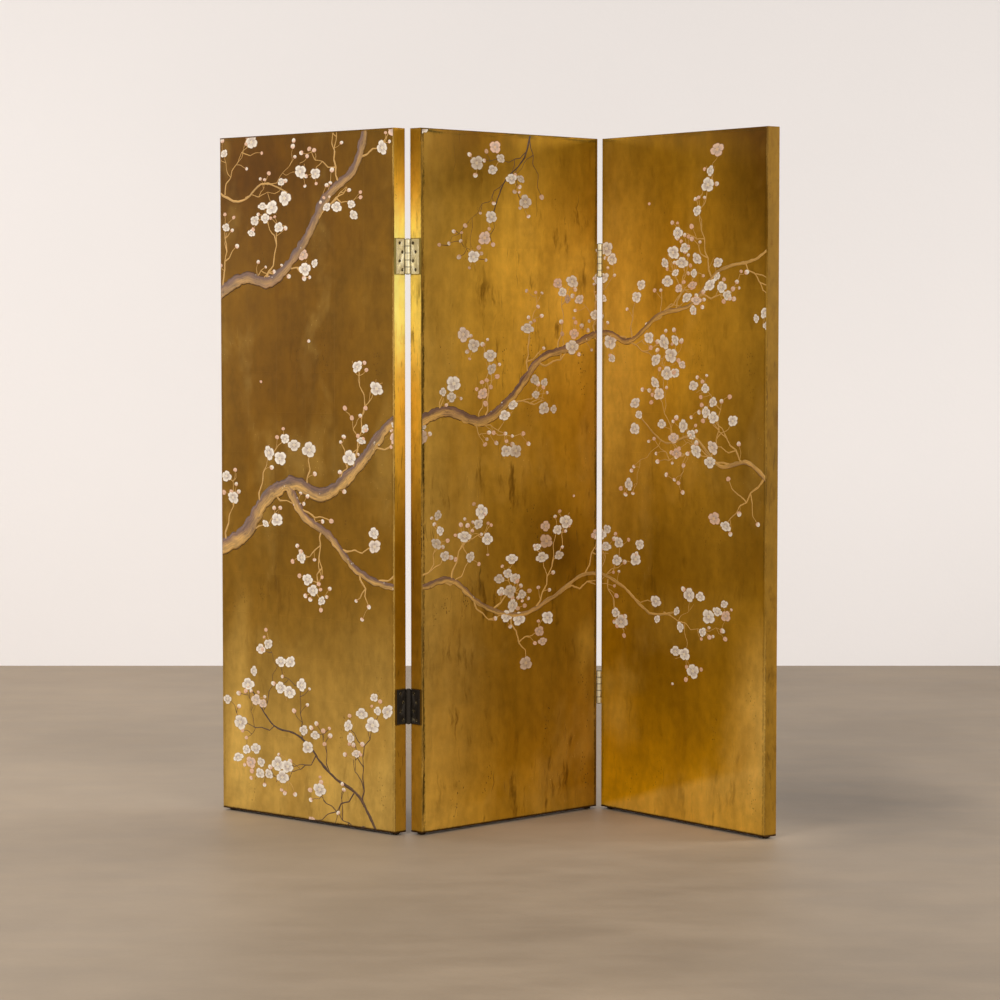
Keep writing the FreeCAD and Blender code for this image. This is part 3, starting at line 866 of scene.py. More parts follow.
def petal_paint(look):
    """Shell-white petals with pale rims, lilac cups, drawn lines between them and a dotted gold heart."""
    net = Finish("petal_paint")
    u, v, rim = net.split(net.attribute("petal_place", "Vector"))
    blush = net.attribute("blush")
    age = net.attribute("age")
    angle = net.math("ARCTAN2", v, u)
    radius = net.math("SQRT", u * u + v * v)
    place = net.object_place()
    fleck = net.noise(place, 320, 3, 0.6)
    wash = net.noise(place, 70, 3, 0.6)

    cup = net.step(rim, 0.16, 0.36) * (1 - net.step(rim + (wash - 0.5) * 0.5, 0.50, 0.92))
    cup = cup * (0.55 + 0.45 * net.step(u + (wash - 0.5), -0.45, 0.45))
    net.colour = net.blend(net.step(blush, 0.80, 0.95) * 0.85, look.petal, look.blush)
    net.coat(cup * (0.40 + wash * 0.6), look.shade)
    net.coat(age * 0.55, look.aged)
    rays = net.unsigned(net.math("SINE", angle * 14))
    net.tone(1.04 - rays * cup * 0.08)

    parting = net.unsigned(net.math("COSINE", angle * 2)) * radius
    drawn = (1 - net.step(parting, 0.05, 0.16)) * net.step(rim, 0.2, 0.4)
    ring = net.step(rim, 0.28, 0.34) * (1 - net.step(rim, 0.36, 0.44))
    net.coat(drawn * 0.42, look.line)
    net.coat(ring * 0.16, look.line)
    net.coat(net.step(rim, 0.97, 1.06) * 0.7, look.line)

    stamens = net.dots(net.joined(u, v, blush * 9), 9, 0.16, 0.34)
    heart = 1 - net.step(rim, 0.16, 0.30)
    net.coat(heart * (0.35 + stamens * 0.6), look.heart)
    net.tone(0.92 + fleck * 0.2 - age * 0.10)
    height = (1 - heart) * rim * 0.6 + stamens * heart * 0.8 - drawn * 0.5 + fleck * 0.2
    return net.surface({"Roughness": 0.55 + fleck * 0.15}, height, 0.5 * MILLIMETRE)


def bud_paint(look):
    """Round buds, paler on top, with a warm shadow at the stalk."""
    net = Finish("bud_paint")
    u, v, rim = net.split(net.attribute("petal_place", "Vector"))
    fleck = net.noise(net.object_place(), 380, 3, 0.6)
    age = net.attribute("age")
    top = net.step(u + v * 0.4, -0.7, 0.6)
    pale = net.blend(net.step(net.attribute("blush"), 0.3, 0.8), look.petal, look.blush)
    net.colour = net.blend(top, look.blush, pale)
    seam = 1 - net.step(net.unsigned(v - u * u * 0.3), 0.03, 0.12)
    net.coat(seam * 0.3, look.line)
    net.coat((1 - net.step(u, -0.95, -0.55)) * 0.7, look.line)
    net.coat(net.step(rim, 0.95, 1.08) * 0.6, look.line)
    net.coat(age * 0.5, look.aged)
    net.tone(0.94 + fleck * 0.2 - age * 0.10)
    return net.surface({"Roughness": 0.6}, fleck + top, 0.4 * MILLIMETRE)


# Shapes shared by the pieces


def give_finish(node, material):
    """Puts a material on a CAD node and leaves its mesh as it is."""
    slots = frame["nodes"][node].data.materials
    slots.clear()
    slots.append(material)


def body_of_node(node):
    """The name of the body that a CAD node rides on."""
    for body, nodes in frame["record"]["behaviour"]["bodies"].items():
        if node in nodes:
            return body
    raise RuntimeError(f"no body holds {node}")


def add_object(name, mesh):
    """Links a mesh to the scene as an object at the origin."""
    made = bpy.data.objects.new(name, mesh)
    bpy.context.scene.collection.objects.link(made)
    return made


def mesh_from(name, vertices, edges=(), faces=(), numbers=None, vectors=None):
    """A mesh from its parts, with an attribute on its points for each list of numbers or vectors given."""
    mesh = bpy.data.meshes.new(name)
    mesh.from_pydata(vertices, edges, faces)
    for key, values in (numbers or {}).items():
        mesh.attributes.new(key, "FLOAT", "POINT").data.foreach_set("value", values)
    for key, values in (vectors or {}).items():
        flat = [number for vector in values for number in vector]
        mesh.attributes.new(key, "FLOAT_VECTOR", "POINT").data.foreach_set("vector", flat)
    return mesh


def merged_build(node):
    """A CAD node's mesh for editing, with its loose triangles joined."""
    build = bmesh.new()
    build.from_mesh(frame["nodes"][node].data)
    bmesh.ops.remove_doubles(build, verts=build.verts[:], dist=MERGE_REACH)
    return build


class Group(Net):
    """A geometry node group with named inputs, which ends in realized instances with a material."""

    def __init__(self, name, inputs):
        super().__init__(bpy.data.node_groups.new(name, "GeometryNodeTree"))
        sockets = self.tree.interface
        sockets.new_socket("Geometry", in_out="INPUT", socket_type="NodeSocketGeometry")
        for label, kind in inputs.items():
            sockets.new_socket(label, in_out="INPUT", socket_type=kind)
        sockets.new_socket("Geometry", in_out="OUTPUT", socket_type="NodeSocketGeometry")
        self.start = self.node("NodeGroupInput")

    def given(self, label):
        """What the group is given under a name."""
        return Field(self, self.start.outputs[label])

    def position(self):
        return self.field("GeometryNodeInputPosition")

    def named(self, name, kind="FLOAT"):
        """A named attribute of the points."""
        settings = {"data_type": kind}
        return self.field("GeometryNodeInputNamedAttribute", settings, {"Name": name}, "Attribute")

    def stored(self, geometry, name, value):
        """The geometry with a number kept on its points under a name."""
        settings = {"data_type": "FLOAT", "domain": "POINT"}
        values = {"Geometry": geometry, "Name": name, "Value": value}
        return self.field("GeometryNodeStoreNamedAttribute", settings, values)

    def closed(self, geometry, material):
        """Ends the group, and gives its tree."""
        realized = self.field("GeometryNodeRealizeInstances", values={"Geometry": geometry})
        finished = self.field("GeometryNodeSetMaterial", values={"Geometry": realized, "Material": material})
        self.node("NodeGroupOutput", values={"Geometry": finished})
        return self.tree


def grown(name, base, tree, values):
    """The plain mesh that a group makes from a base mesh."""
    carrier = add_object(f"{name}_base", base)
    modifier = carrier.modifiers.new("grow", "NODES")
    modifier.node_group = tree
    for item in tree.interface.items_tree:
        if item.in_out == "INPUT" and item.name in values:
            modifier[item.identifier] = values[item.name]
    bpy.context.view_layer.update()
    evaluated = carrier.evaluated_get(bpy.context.evaluated_depsgraph_get())
    mesh = bpy.data.meshes.new_from_object(evaluated)
    carrier.modifiers.remove(modifier)
    bpy.data.objects.remove(carrier)
    mesh.name = name
    if not mesh.polygons:
        raise RuntimeError(f"{name} came out empty")
    return mesh


# The painting, drawn flat across the opened screen


Bough = namedtuple("Bough", "points start_girth end_girth shade twig_gap flowering")
Stroke = namedtuple("Stroke", "points girths shade")
Flower = namedtuple("Flower", "place size turn")

# Points in panel widths along the opened screen and in panel heights up it
BOUGHS = [
    Bough(
        [(-0.06, 0.385), (0.13, 0.412), (0.27, 0.468), (0.43, 0.492), (0.60, 0.478), (0.78, 0.515),
         (0.97, 0.580), (1.14, 0.600), (1.33, 0.585), (1.50, 0.618), (1.66, 0.672), (1.83, 0.690),
         (2.02, 0.712), (2.18, 0.700), (2.36, 0.738), (2.55, 0.752), (2.72, 0.800), (2.93, 0.815),
         (3.04, 0.838)],
        0.025, 0.003, 0.2, 0.100, 0.75,
    ),
    Bough(
        [(-0.06, 0.760), (0.14, 0.792), (0.31, 0.788), (0.49, 0.840), (0.62, 0.905), (0.79, 0.950),
         (0.86, 1.03)],
        0.019, 0.012, 0.8, 0.085, 0.85,
    ),
    Bough(
        [(0.40, 0.488), (0.49, 0.445), (0.63, 0.420), (0.79, 0.372), (0.98, 0.352), (1.16, 0.358),
         (1.34, 0.318), (1.55, 0.300), (1.74, 0.322), (1.93, 0.352), (2.12, 0.338), (2.31, 0.300),
         (2.47, 0.306)],
        0.014, 0.003, 0.3, 0.095, 0.85,
    ),
    Bough([(1.62, 1.02), (1.57, 0.965), (1.46, 0.930), (1.39, 0.880)], 0.003, 0.0015, 0.9, 0.070, 0.9),
    Bough(
        [(0.93, -0.02), (0.80, 0.045), (0.64, 0.072), (0.47, 0.120), (0.30, 0.135), (0.16, 0.190)],
        0.005, 0.002, 0.75, 0.080, 1.0,
    ),
    Bough(
        [(3.05, 0.490), (2.90, 0.528), (2.73, 0.522), (2.57, 0.562), (2.40, 0.552), (2.24, 0.590)],
        0.008, 0.002, 0.3, 0.085, 1.0,
    ),
    Bough([(-0.04, 0.925), (0.12, 0.905), (0.26, 0.930), (0.40, 0.915)], 0.004, 0.002, 0.3, 0.080, 0.5),
]

# Loose petals that drift down over the bare gold, in the same units
FALLING = [
    (0.24, 0.64), (0.62, 0.33), (0.52, 0.70), (1.28, 0.44),
    (1.86, 0.47), (2.30, 0.90), (2.62, 0.62), (2.45, 0.20),
]
FALLING_SIZE = 0.8

# How twigs grow: lengths and girths in metres, angles in radians, shades, and chances out of one
TWIG_LEAN = (0.55, 1.15)
TWIG_LENGTH = (0.075, 0.19)
TWIG_GIRTH = 0.0032
FINE_BOUGH_GIRTH = 0.0035
PALE_SHADE = 0.3
JOINT_LENGTH = 0.027
JOINT_BEND = (0.2, 0.8)
RISE = 0.10
FORK_LEAN = (0.6, 1.1)
FORK_CHANCE = 0.48
BUD_CHANCE = 0.35
BUD_LEAN = 1.1
STALK_GIRTHS = [0.0009, 0.0008, 0.0007]

# How far a stroke wanders, in metres, and how knotty it is
WOBBLE = 0.008
KNOTTINESS = 1.4

# How deep a stroke and a flower sink into the gold, in shares of the relief
STROKE_SINKING = 0.3
FLOWER_SINKING = 0.1

# How close two blossoms or buds may come, in shares of their sizes
BLOSSOM_CROWDING = 0.46
BUD_CROWDING = 0.5


def towards(heading):
    """A flat unit vector at an angle."""
    return Vector((math.cos(heading), math.sin(heading)))


class Painting:
    """The strokes, blossoms and buds, flat: x runs along the opened screen and y up it, in metres."""

    def __init__(self, look):
        self.look = look
        self.random = random.Random(look.seed)
        self.strokes = []
        self.blossoms = []
        self.buds = []
        for bough in BOUGHS:
            self.draw_bough(bough)
        for point in FALLING:
            self.add_bud(self.on_screen(point), self.random.uniform(0, math.tau), FALLING_SIZE)

    @staticmethod
    def on_screen(point):
        """A point in metres from its shares of a panel's width and height."""
        return Vector((point[0] * PANELS[0].width, point[1] * PANELS[0].height))

    def draw_bough(self, bough):
        """One bough, then twigs to either side of it in turn."""
        points = [self.on_screen(point) for point in bough.points]
        shares = [(index / (len(points) - 1)) ** 0.8 for index in range(len(points))]
        girths = [bough.start_girth + (bough.end_girth - bough.start_girth) * share for share in shares]
        self.strokes.append(Stroke(points, girths, bough.shade))
        shade = bough.shade if bough.end_girth < FINE_BOUGH_GIRTH else PALE_SHADE
        whole = sum((there - here).length for here, there in zip(points, points[1:]))
        side = 1
        travelled = 0.0
        due = bough.twig_gap * 0.6
        for here, there, girth in zip(points, points[1:], girths):
            run = there - here
            while travelled + run.length > due:
                start = here + run * ((due - travelled) / run.length)
                heading = math.atan2(run.y, run.x) + side * self.random.uniform(*TWIG_LEAN)
                length = self.random.uniform(*TWIG_LENGTH)
                flowering = bough.flowering * (0.45 + 0.55 * due / whole)
                self.draw_twig(start, heading, length, min(girth * 0.5, TWIG_GIRTH), shade, flowering)
                side = -side
                due += bough.twig_gap * self.random.uniform(0.6, 1.4)
            travelled += run.length
        self.add_spray(points[-1], math.atan2(run.y, run.x), bough.flowering)

    def draw_twig(self, start, heading, length, girth, shade, flowering, forks=2):
        """An angular twig that rises a little, forks, and ends in a spray."""
        joints = max(3, round(length / JOINT_LENGTH))
        points = [start]
        side = self.random.choice((-1, 1))
        for joint in range(joints):
            heading += side * self.random.uniform(*JOINT_BEND)
            heading += RISE * math.sin(math.pi / 2 - heading)
            side = -side
            step = length / joints * self.random.uniform(0.75, 1.25)
            points.append(points[-1] + step * towards(heading))
            if joint and forks and self.random.random() < FORK_CHANCE:
                lean = heading + side * self.random.uniform(*FORK_LEAN)
                self.draw_twig(points[-1], lean, length * 0.5, girth * 0.7, shade, flowering, forks - 1)
            elif self.random.random() < BUD_CHANCE * flowering:
                self.add_bud_on_stalk(points[-1], heading + side * BUD_LEAN, shade)
        self.add_spray(points[-1], heading, flowering)
        bent = [points[0]]
        for here, there in zip(points, points[1:]):
            bent += [here.lerp(there, 0.18), here.lerp(there, 0.82), there]
        girths = [girth * (1 - 0.6 * index / (len(bent) - 1)) for index in range(len(bent))]
        self.strokes.append(Stroke(bent, girths, shade))

    def add_spray(self, tip, heading, flowering):
        """Blossoms crowded at a tip, with buds on stalks beyond them."""
        if self.random.random() > flowering:
            self.add_bud(tip, heading, 1.0)
            return
        for index in range(self.random.choice((1, 1, 2, 2, 3, 4))):
            turn = heading + self.random.uniform(-1.9, 1.9)
            reach = self.look.blossom * (0.1 if index == 0 else self.random.uniform(0.75, 1.2))
            self.add_blossom(tip + reach * towards(turn))
        for _ in range(self.random.choice((0, 1, 2, 2, 3))):
            self.add_bud_on_stalk(tip, heading + self.random.uniform(-1.4, 1.4), PALE_SHADE)

    def add_blossom(self, place):
        """A blossom of some size and turn, unless it would crowd another."""
        size = self.look.blossom * self.random.uniform(0.62, 1.16)
        gaps = [(place - other.place).length / (size + other.size) for other in self.blossoms]
        if all(gap >= BLOSSOM_CROWDING for gap in gaps):
            self.blossoms.append(Flower(place, size, self.random.uniform(0, math.tau)))

    def add_bud(self, place, heading, scale):
        """A bud that points along a heading, unless it would crowd a flower."""
        size = self.look.bud * scale * self.random.uniform(0.75, 1.2)
        gaps = [(place - other.place).length / (size + other.size) for other in self.buds + self.blossoms]
        if all(gap > BUD_CROWDING for gap in gaps):
            self.buds.append(Flower(place, size, heading))

    def add_bud_on_stalk(self, start, heading, shade):
        """A bud at the end of a thin bent stalk."""
        direction = towards(heading)
        reach = self.look.blossom * self.random.uniform(0.5, 1.15)
        bend = Vector((-direction.y, direction.x)) * reach * self.random.uniform(-0.15, 0.15)
        points = [start, start + direction * reach / 2 + bend, start + direction * reach]
        self.strokes.append(Stroke(points, STALK_GIRTHS, shade))
        self.add_bud(points[-1], heading, 1.0)


def stroke_base(name, strokes, shift):
    """The strokes of one panel as chains of edges, with their girth and shade at each point."""
    vertices, edges, girths, shades = [], [], [], []
    for stroke in strokes:
        first = len(vertices)
        count = len(stroke.points)
        vertices += [(point.x - shift, point.y, 0.0) for point in stroke.points]
        edges += [(first + index, first + index + 1) for index in range(count - 1)]
        girths += stroke.girths
        shades += [stroke.shade] * count
    return mesh_from(name, vertices, edges, numbers={"girth": girths, "shade": shades})


def stroke_group(material):
    """Strokes swept along chains of edges: smoothed, wobbled, knotted, and flattened to low relief."""
    inputs = {label: "NodeSocketFloat" for label in ("Step", "Relief", "Sink", "Wobble", "Knots")}
    net = Group("painted_strokes", inputs)
    step, relief, sink, wobble, knots = [net.given(label) for label in inputs]

    curve = net.field("GeometryNodeMeshToCurve", values={"Mesh": net.given("Geometry")})
    curve = net.field("GeometryNodeCurveSplineType", {"spline_type": "CATMULL_ROM"}, {"Curve": curve})
    curve = net.field("GeometryNodeResampleCurve", {"mode": "LENGTH"}, {"Curve": curve, "Length": step})
    position = net.position()
    shaken = net.vector_math("SUBTRACT", net.swirl(position, 34, 4), (0.5, 0.5, 0.5))
    offset = net.scaled(shaken, net.joined(wobble, wobble, 0))
    curve = net.field("GeometryNodeSetPosition", values={"Geometry": curve, "Offset": offset})
    radius = net.named("girth") * (1 + (net.noise(position, 42) - 0.5) * knots)
    curve = net.field("GeometryNodeSetCurveRadius", values={"Curve": curve, "Radius": radius})
    curve = net.stored(curve, "along", net.field("GeometryNodeSplineParameter", output="Length"))

    circle = {"Resolution": 8, "Radius": 1.0}
    profile = net.field("GeometryNodeCurvePrimitiveCircle", {"mode": "RADIUS"}, circle)
    side, top, _ = net.split(net.position())
    profile = net.stored(profile, "across", side)
    profile = net.stored(profile, "lift", top)
    swept = {
        "Curve": curve,
        "Profile Curve": profile,
        "Scale": net.field("GeometryNodeInputRadius"),
        "Fill Caps": True,
    }
    round_strokes = net.field("GeometryNodeCurveToMesh", values=swept)

    lift = net.named("lift")
    x, y, _ = net.split(net.position())
    fullness = net.step(net.named("girth"), 0.0, 0.010) * 0.6 + 0.4
    height = net.greater(lift, 0.0) * relief * fullness + net.lesser(lift, 0.0) * sink
    flat = {"Geometry": round_strokes, "Position": net.joined(x, y, height)}
    return net.closed(net.field("GeometryNodeSetPosition", values=flat), material)


def flower_shape(name, points, outline, squash):
    """A low lens of paint: a fan over an outline, a sloping rim and a flat underside, one unit high."""
    build = bmesh.new()
    layer = build.verts.layers.float_vector.new("petal_place")
    rings = []
    for fraction, height, rim in ((0.94, 0.72, 1.0), (1.0, 0.0, 1.12)):
        ring = []
        for index in range(points):
            angle = index * math.tau / points
            radius = 0.5 * fraction * outline(angle)
            vertex = build.verts.new((radius * math.cos(angle), radius * math.sin(angle) * squash, height))
            vertex[layer] = Vector((2 * vertex.co.x, 2 * vertex.co.y, rim))
            ring.append(vertex)
        rings.append(ring)
    centre = build.verts.new((0, 0, 1))
    centre[layer] = Vector((0, 0, 0))
    top, foot = rings
    for index in range(points):
        other = (index + 1) % points
        build.faces.new((centre, top[index], top[other]))
        build.faces.new((top[index], foot[index], foot[other], top[other]))
    build.faces.new(list(reversed(foot)))
    mesh = bpy.data.meshes.new(name)
    build.to_mesh(mesh)
    build.free()
    return add_object(name, mesh)


def four_petals(angle):
    """The reach of a blossom of four broad, notched petals in one direction, no two petals alike."""
    lobe = 0.74 + 0.26 * abs(math.cos(2 * angle)) ** 0.7
    turned = (angle + math.pi / 4) % (math.pi / 2) - math.pi / 4
    uneven = 1 + 0.07 * math.cos(angle + 0.7) + 0.05 * math.cos(3 * angle)
    return (lobe - 0.07 * math.exp(-((turned / 0.16) ** 2))) * uneven


def egg(angle):
    """The reach of a bud in one direction."""
    return 1 + 0.06 * math.cos(angle) + 0.03 * math.cos(3 * angle)


def scatter_group(name, material):
    """A flower on every point, turned and sized by the point's own attributes."""
    net = Group(name, {"Flower": "NodeSocketObject", "Breadth": "NodeSocketFloat"})
    flower = net.field("GeometryNodeObjectInfo", values={"Object": net.given("Flower")}, output="Geometry")
    turn = {"Euler": net.joined(0, 0, net.named("turn"))}
    size = net.named("size")
    values = {
        "Points": net.given("Geometry"),
        "Instance": flower,
        "Rotation": net.field("FunctionNodeEulerToRotation", values=turn),
        "Scale": net.joined(size * net.named("openness"), size, net.named("thickness")),
    }
    flowers = net.field("GeometryNodeInstanceOnPoints", values=values)
    realized = net.field("GeometryNodeRealizeInstances", values={"Geometry": flowers})
    offset = net.vector_math("SUBTRACT", net.position(), net.named("middle", "FLOAT_VECTOR"))
    extra = net.scaled(offset, net.joined(net.given("Breadth") - 1, 0, 0))
    broad = net.field("GeometryNodeSetPosition", values={"Geometry": realized, "Offset": extra})
    return net.closed(broad, material)


def trimmed(mesh, panel):
    """Cuts a flat mesh off near the panel's edges, closes the cuts and turns its faces outwards."""
    build = bmesh.new()
    build.from_mesh(mesh)
    cuts = [
        ((PAINT_MARGIN, 0, 0), (-1, 0, 0)),
        ((panel.width - PAINT_MARGIN, 0, 0), (1, 0, 0)),
        ((0, PAINT_MARGIN, 0), (0, -1, 0)),
        ((0, panel.height - PAINT_MARGIN, 0), (0, 1, 0)),
    ]
    for point, direction in cuts:
        parts = build.verts[:] + build.edges[:] + build.faces[:]
        cut = bmesh.ops.bisect_plane(build, geom=parts, plane_co=point, plane_no=direction, clear_outer=True)
        edges = [part for part in cut["geom_cut"] if isinstance(part, bmesh.types.BMEdge)]
        if edges:
            bmesh.ops.holes_fill(build, edges=edges)
    bmesh.ops.recalc_face_normals(build, faces=build.faces[:])
    build.to_mesh(mesh)
    build.free()


def hang_on_panel(name, mesh, panel):
    """Takes a flat painted mesh to its panel."""
    trimmed(mesh, panel)
    mesh.transform(panel.paint_space())
    piece = add_object(name, mesh)
    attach(piece, panel.body)


# Hinges and screws


# The angles between faces up to which an edge is flat, and from which it is eased and shaded sharp
FLAT_ANGLE = math.radians(0.5)
EASED_ANGLE = math.radians(40)
SHARP_ANGLE = math.radians(28)

# The turn of the first screw's slot, and the turn from each to the next, in radians
FIRST_TURN = 0.4
NEXT_TURN = 0.9

# The share of a screw's length that its point takes up
POINT_SHARE = 0.16


def eased_copy(node, name, width):
    """A merged copy of a CAD node with its hard edges eased and its round parts shaded round."""
    build = merged_build(node)
    bmesh.ops.dissolve_limit(build, angle_limit=FLAT_ANGLE, verts=build.verts[:], edges=build.edges[:])
    hard = [edge for edge in build.edges if edge.is_manifold and edge.calc_face_angle() > EASED_ANGLE]
    bmesh.ops.bevel(build, geom=hard, offset=width, segments=2, affect="EDGES", clamp_overlap=True)
    mesh = bpy.data.meshes.new(name)
    build.to_mesh(mesh)
    build.free()
    mesh.shade_smooth()
    mesh.set_sharp_from_angle(angle=SHARP_ANGLE)
    return add_object(name, mesh)


def screw_seats(node, outward):
    """The head's middle and the length of each screw in a CAD node, from the lowest screw up."""
    build = merged_build(node)
    seats = []
    left = set(build.verts)
    while left:
        island, edge = set(), [left.pop()]
        while edge:
            vertex = edge.pop()
            island.add(vertex)
            edge += [other for link in vertex.link_edges for other in link.verts if other in left]
            left -= set(edge)
        reaches = [vertex.co.dot(outward) for vertex in island]
        point = min(island, key=lambda vertex: vertex.co.dot(outward)).co.copy()
        length = max(reaches) - min(reaches)
        seats.append((point + outward * length, length))
    build.free()
    return sorted(seats, key=lambda seat: seat[0].z)


def tapered_rod(net, sides, top, bottom, depth, foot):
    """A rod or cone along z that stands on a height, wide at its top and narrow at its bottom."""
    values = {"Vertices": sides, "Radius Top": top, "Radius Bottom": bottom, "Depth": depth}
    rod = net.field("GeometryNodeMeshCone", values=values, output="Mesh")
    lowered = {"Geometry": rod, "Translation": net.joined(0, 0, foot)}
    return net.field("GeometryNodeTransform", values=lowered)


def screw_group(material):
    """Slotted countersunk screws on the points, heads along each point's outward direction."""
    inputs = {label: "NodeSocketFloat" for label in ("Head", "Shank", "Length", "Slot", "Sink")}
    net = Group("slotted_screws", inputs)
    head, shank, length, slot, sink = [net.given(label) for label in inputs]
    head_depth = (head - shank) * 0.5
    tip = length * POINT_SHARE
    stem_length = length - head_depth - tip
    cone = tapered_rod(net, 32, head / 2, shank / 2, head_depth, head_depth * -1)
    stem = tapered_rod(net, 16, shank / 2, shank / 2, stem_length, (length - tip) * -1)
    point = tapered_rod(net, 16, shank / 2, 0.0, tip, length * -1)

    blade_size = {"Size": net.joined(head * 2, slot, sink * 2)}
    blade = net.field("GeometryNodeMeshCube", values=blade_size, output="Mesh")
    cut = {"Mesh 1": cone, "Mesh 2": blade}
    settings = {"operation": "DIFFERENCE", "solver": "EXACT"}
    slotted = net.field("GeometryNodeMeshBoolean", settings, cut, "Mesh")
    whole = net.node("GeometryNodeJoinGeometry")
    for part in (slotted, stem, point):
        net.tree.links.new(part.socket, whole.inputs["Geometry"])

    spin = net.field("FunctionNodeEulerToRotation", values={"Euler": net.joined(0, 0, net.named("spin"))})
    outward = {"Vector": net.named("outward", "FLOAT_VECTOR")}
    facing = net.field("FunctionNodeAlignRotationToVector", {"axis": "Z"}, outward)
    turned = {"Rotation": facing, "Rotate By": spin}
    values = {
        "Points": net.given("Geometry"),
        "Instance": whole.outputs["Geometry"],
        "Rotation": net.field("FunctionNodeRotateRotation", {"rotation_space": "LOCAL"}, turned),
    }
    return net.closed(net.field("GeometryNodeInstanceOnPoints", values=values), material)


# Operators


class GildPanels(bpy.types.Operator):
    """Puts gold leaf on the front skins, the stiles and the rails"""

    bl_idname = "byobu.gild_panels"
    bl_label = "Gild the panels"

    def execute(self, context):
        for panel in PANELS:
            leaf = Gilding(panel, context.scene.byobu_gilding).finished()
            for part in ("front_skin", "left_stile", "right_stile", "top_rail", "bottom_rail"):
                give_finish(f"{panel.name}_{part}", leaf)
        return {"FINISHED"}


class LacquerBacks(bpy.types.Operator):
    """Lacquers the back skins"""

    bl_idname = "byobu.lacquer_backs"
    bl_label = "Lacquer the backs"

    def execute(self, context):
        for panel in PANELS:
            give_finish(f"{panel.name}_back_skin", back_lacquer(panel, context.scene.byobu_lacquer))
        return {"FINISHED"}


class FinishLattice(bpy.types.Operator):
    """Gives the lattice its softwood and the glides their dull steel"""

    bl_idname = "byobu.finish_lattice"
    bl_label = "Finish the lattice and glides"

    def execute(self, context):
        look = context.scene.byobu_timber
        wood = cedar(look)
        steel = glide_finish(look)
        for node in frame["nodes"]:
            if "cross_bar" in node or node.endswith("muntin"):
                give_finish(node, wood)
            elif node.endswith("glides"):
                give_finish(node, steel)
        return {"FINISHED"}


class FitHinges(bpy.types.Operator):
    """Replaces the hinge leaves and pins by eased ones in worn brass"""

    bl_idname = "byobu.fit_hinges"
    bl_label = "Fit the hinges"

    def execute(self, context):
        look = context.scene.byobu_brass
        for hinge in HINGES:
            dark = hinge == DARK_HINGE
            finish = brass(f"{hinge}_brass", look, hinge, dark)
            for node in sorted(frame["nodes"]):
                if node.startswith(hinge):
                    piece = eased_copy(node, f"{node}_eased", look.easing)
                    piece.data.materials.append(finish)
                    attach(piece, body_of_node(node))
                    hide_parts(node)
        return {"FINISHED"}


# The panel that a node's screws are in, and the side of it that their heads look out of
SCREWED_EDGES = {
    "left_panel_screws": (PANELS[0], 1),
    "middle_left_screws": (PANELS[1], -1),
    "middle_right_screws": (PANELS[1], 1),
    "right_panel_screws": (PANELS[2], -1),
}


class DriveScrews(bpy.types.Operator):
    """Replaces the hinge screws by slotted ones"""

    bl_idname = "byobu.drive_screws"
    bl_label = "Drive the screws"

    def execute(self, context):
        look = context.scene.byobu_brass
        tree = screw_group(screw_finish(look))
        for node, (panel, side) in SCREWED_EDGES.items():
            outward = panel.along * side
            seats = screw_seats(node, outward)
            spins = [FIRST_TURN + NEXT_TURN * index for index in range(len(seats))]
            outwards = [outward] * len(seats)
            places = [place for place, _ in seats]
            base = mesh_from(f"{node}_seats", places, numbers={"spin": spins}, vectors={"outward": outwards})
            values = {
                "Head": look.head_diameter,
                "Shank": look.shank_diameter,
                "Length": seats[0][1],
                "Slot": look.slot_width,
                "Sink": look.slot_width,
            }
            piece = add_object(f"{node}_slotted", grown(node + "_mesh", base, tree, values))
            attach(piece, body_of_node(node))
            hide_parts(node)
        return {"FINISHED"}


class PaintBoughs(bpy.types.Operator):
    """Paints the boughs, twigs and stalks on the fronts"""

    bl_idname = "byobu.paint_boughs"
    bl_label = "Paint the boughs"

    def execute(self, context):
        look = context.scene.byobu_painting
        painting = Painting(look)
        tree = stroke_group(bark_paint(look))
        values = {
            "Step": look.stroke_step,
            "Relief": look.relief,
            "Sink": look.relief * STROKE_SINKING,
            "Wobble": WOBBLE,
            "Knots": KNOTTINESS,
        }
        for index, panel in enumerate(PANELS):
            shift = index * panel.width
            near = [stroke for stroke in painting.strokes if self.reaches(stroke, shift, panel.width)]
            base = stroke_base(f"{panel.name}_strokes", near, shift)
            mesh = grown(f"{panel.name}_bough", base, tree, values)
            mesh.shade_smooth()
            hang_on_panel(f"{panel.name}_bough", mesh, panel)
        return {"FINISHED"}

    @staticmethod
    def reaches(stroke, shift, width):
        """Whether any of a stroke lies on or near the panel that starts at shift."""
        xs = [point.x - shift for point in stroke.points]
        return max(xs) > -STROKE_MARGIN and min(xs) < width + STROKE_MARGIN


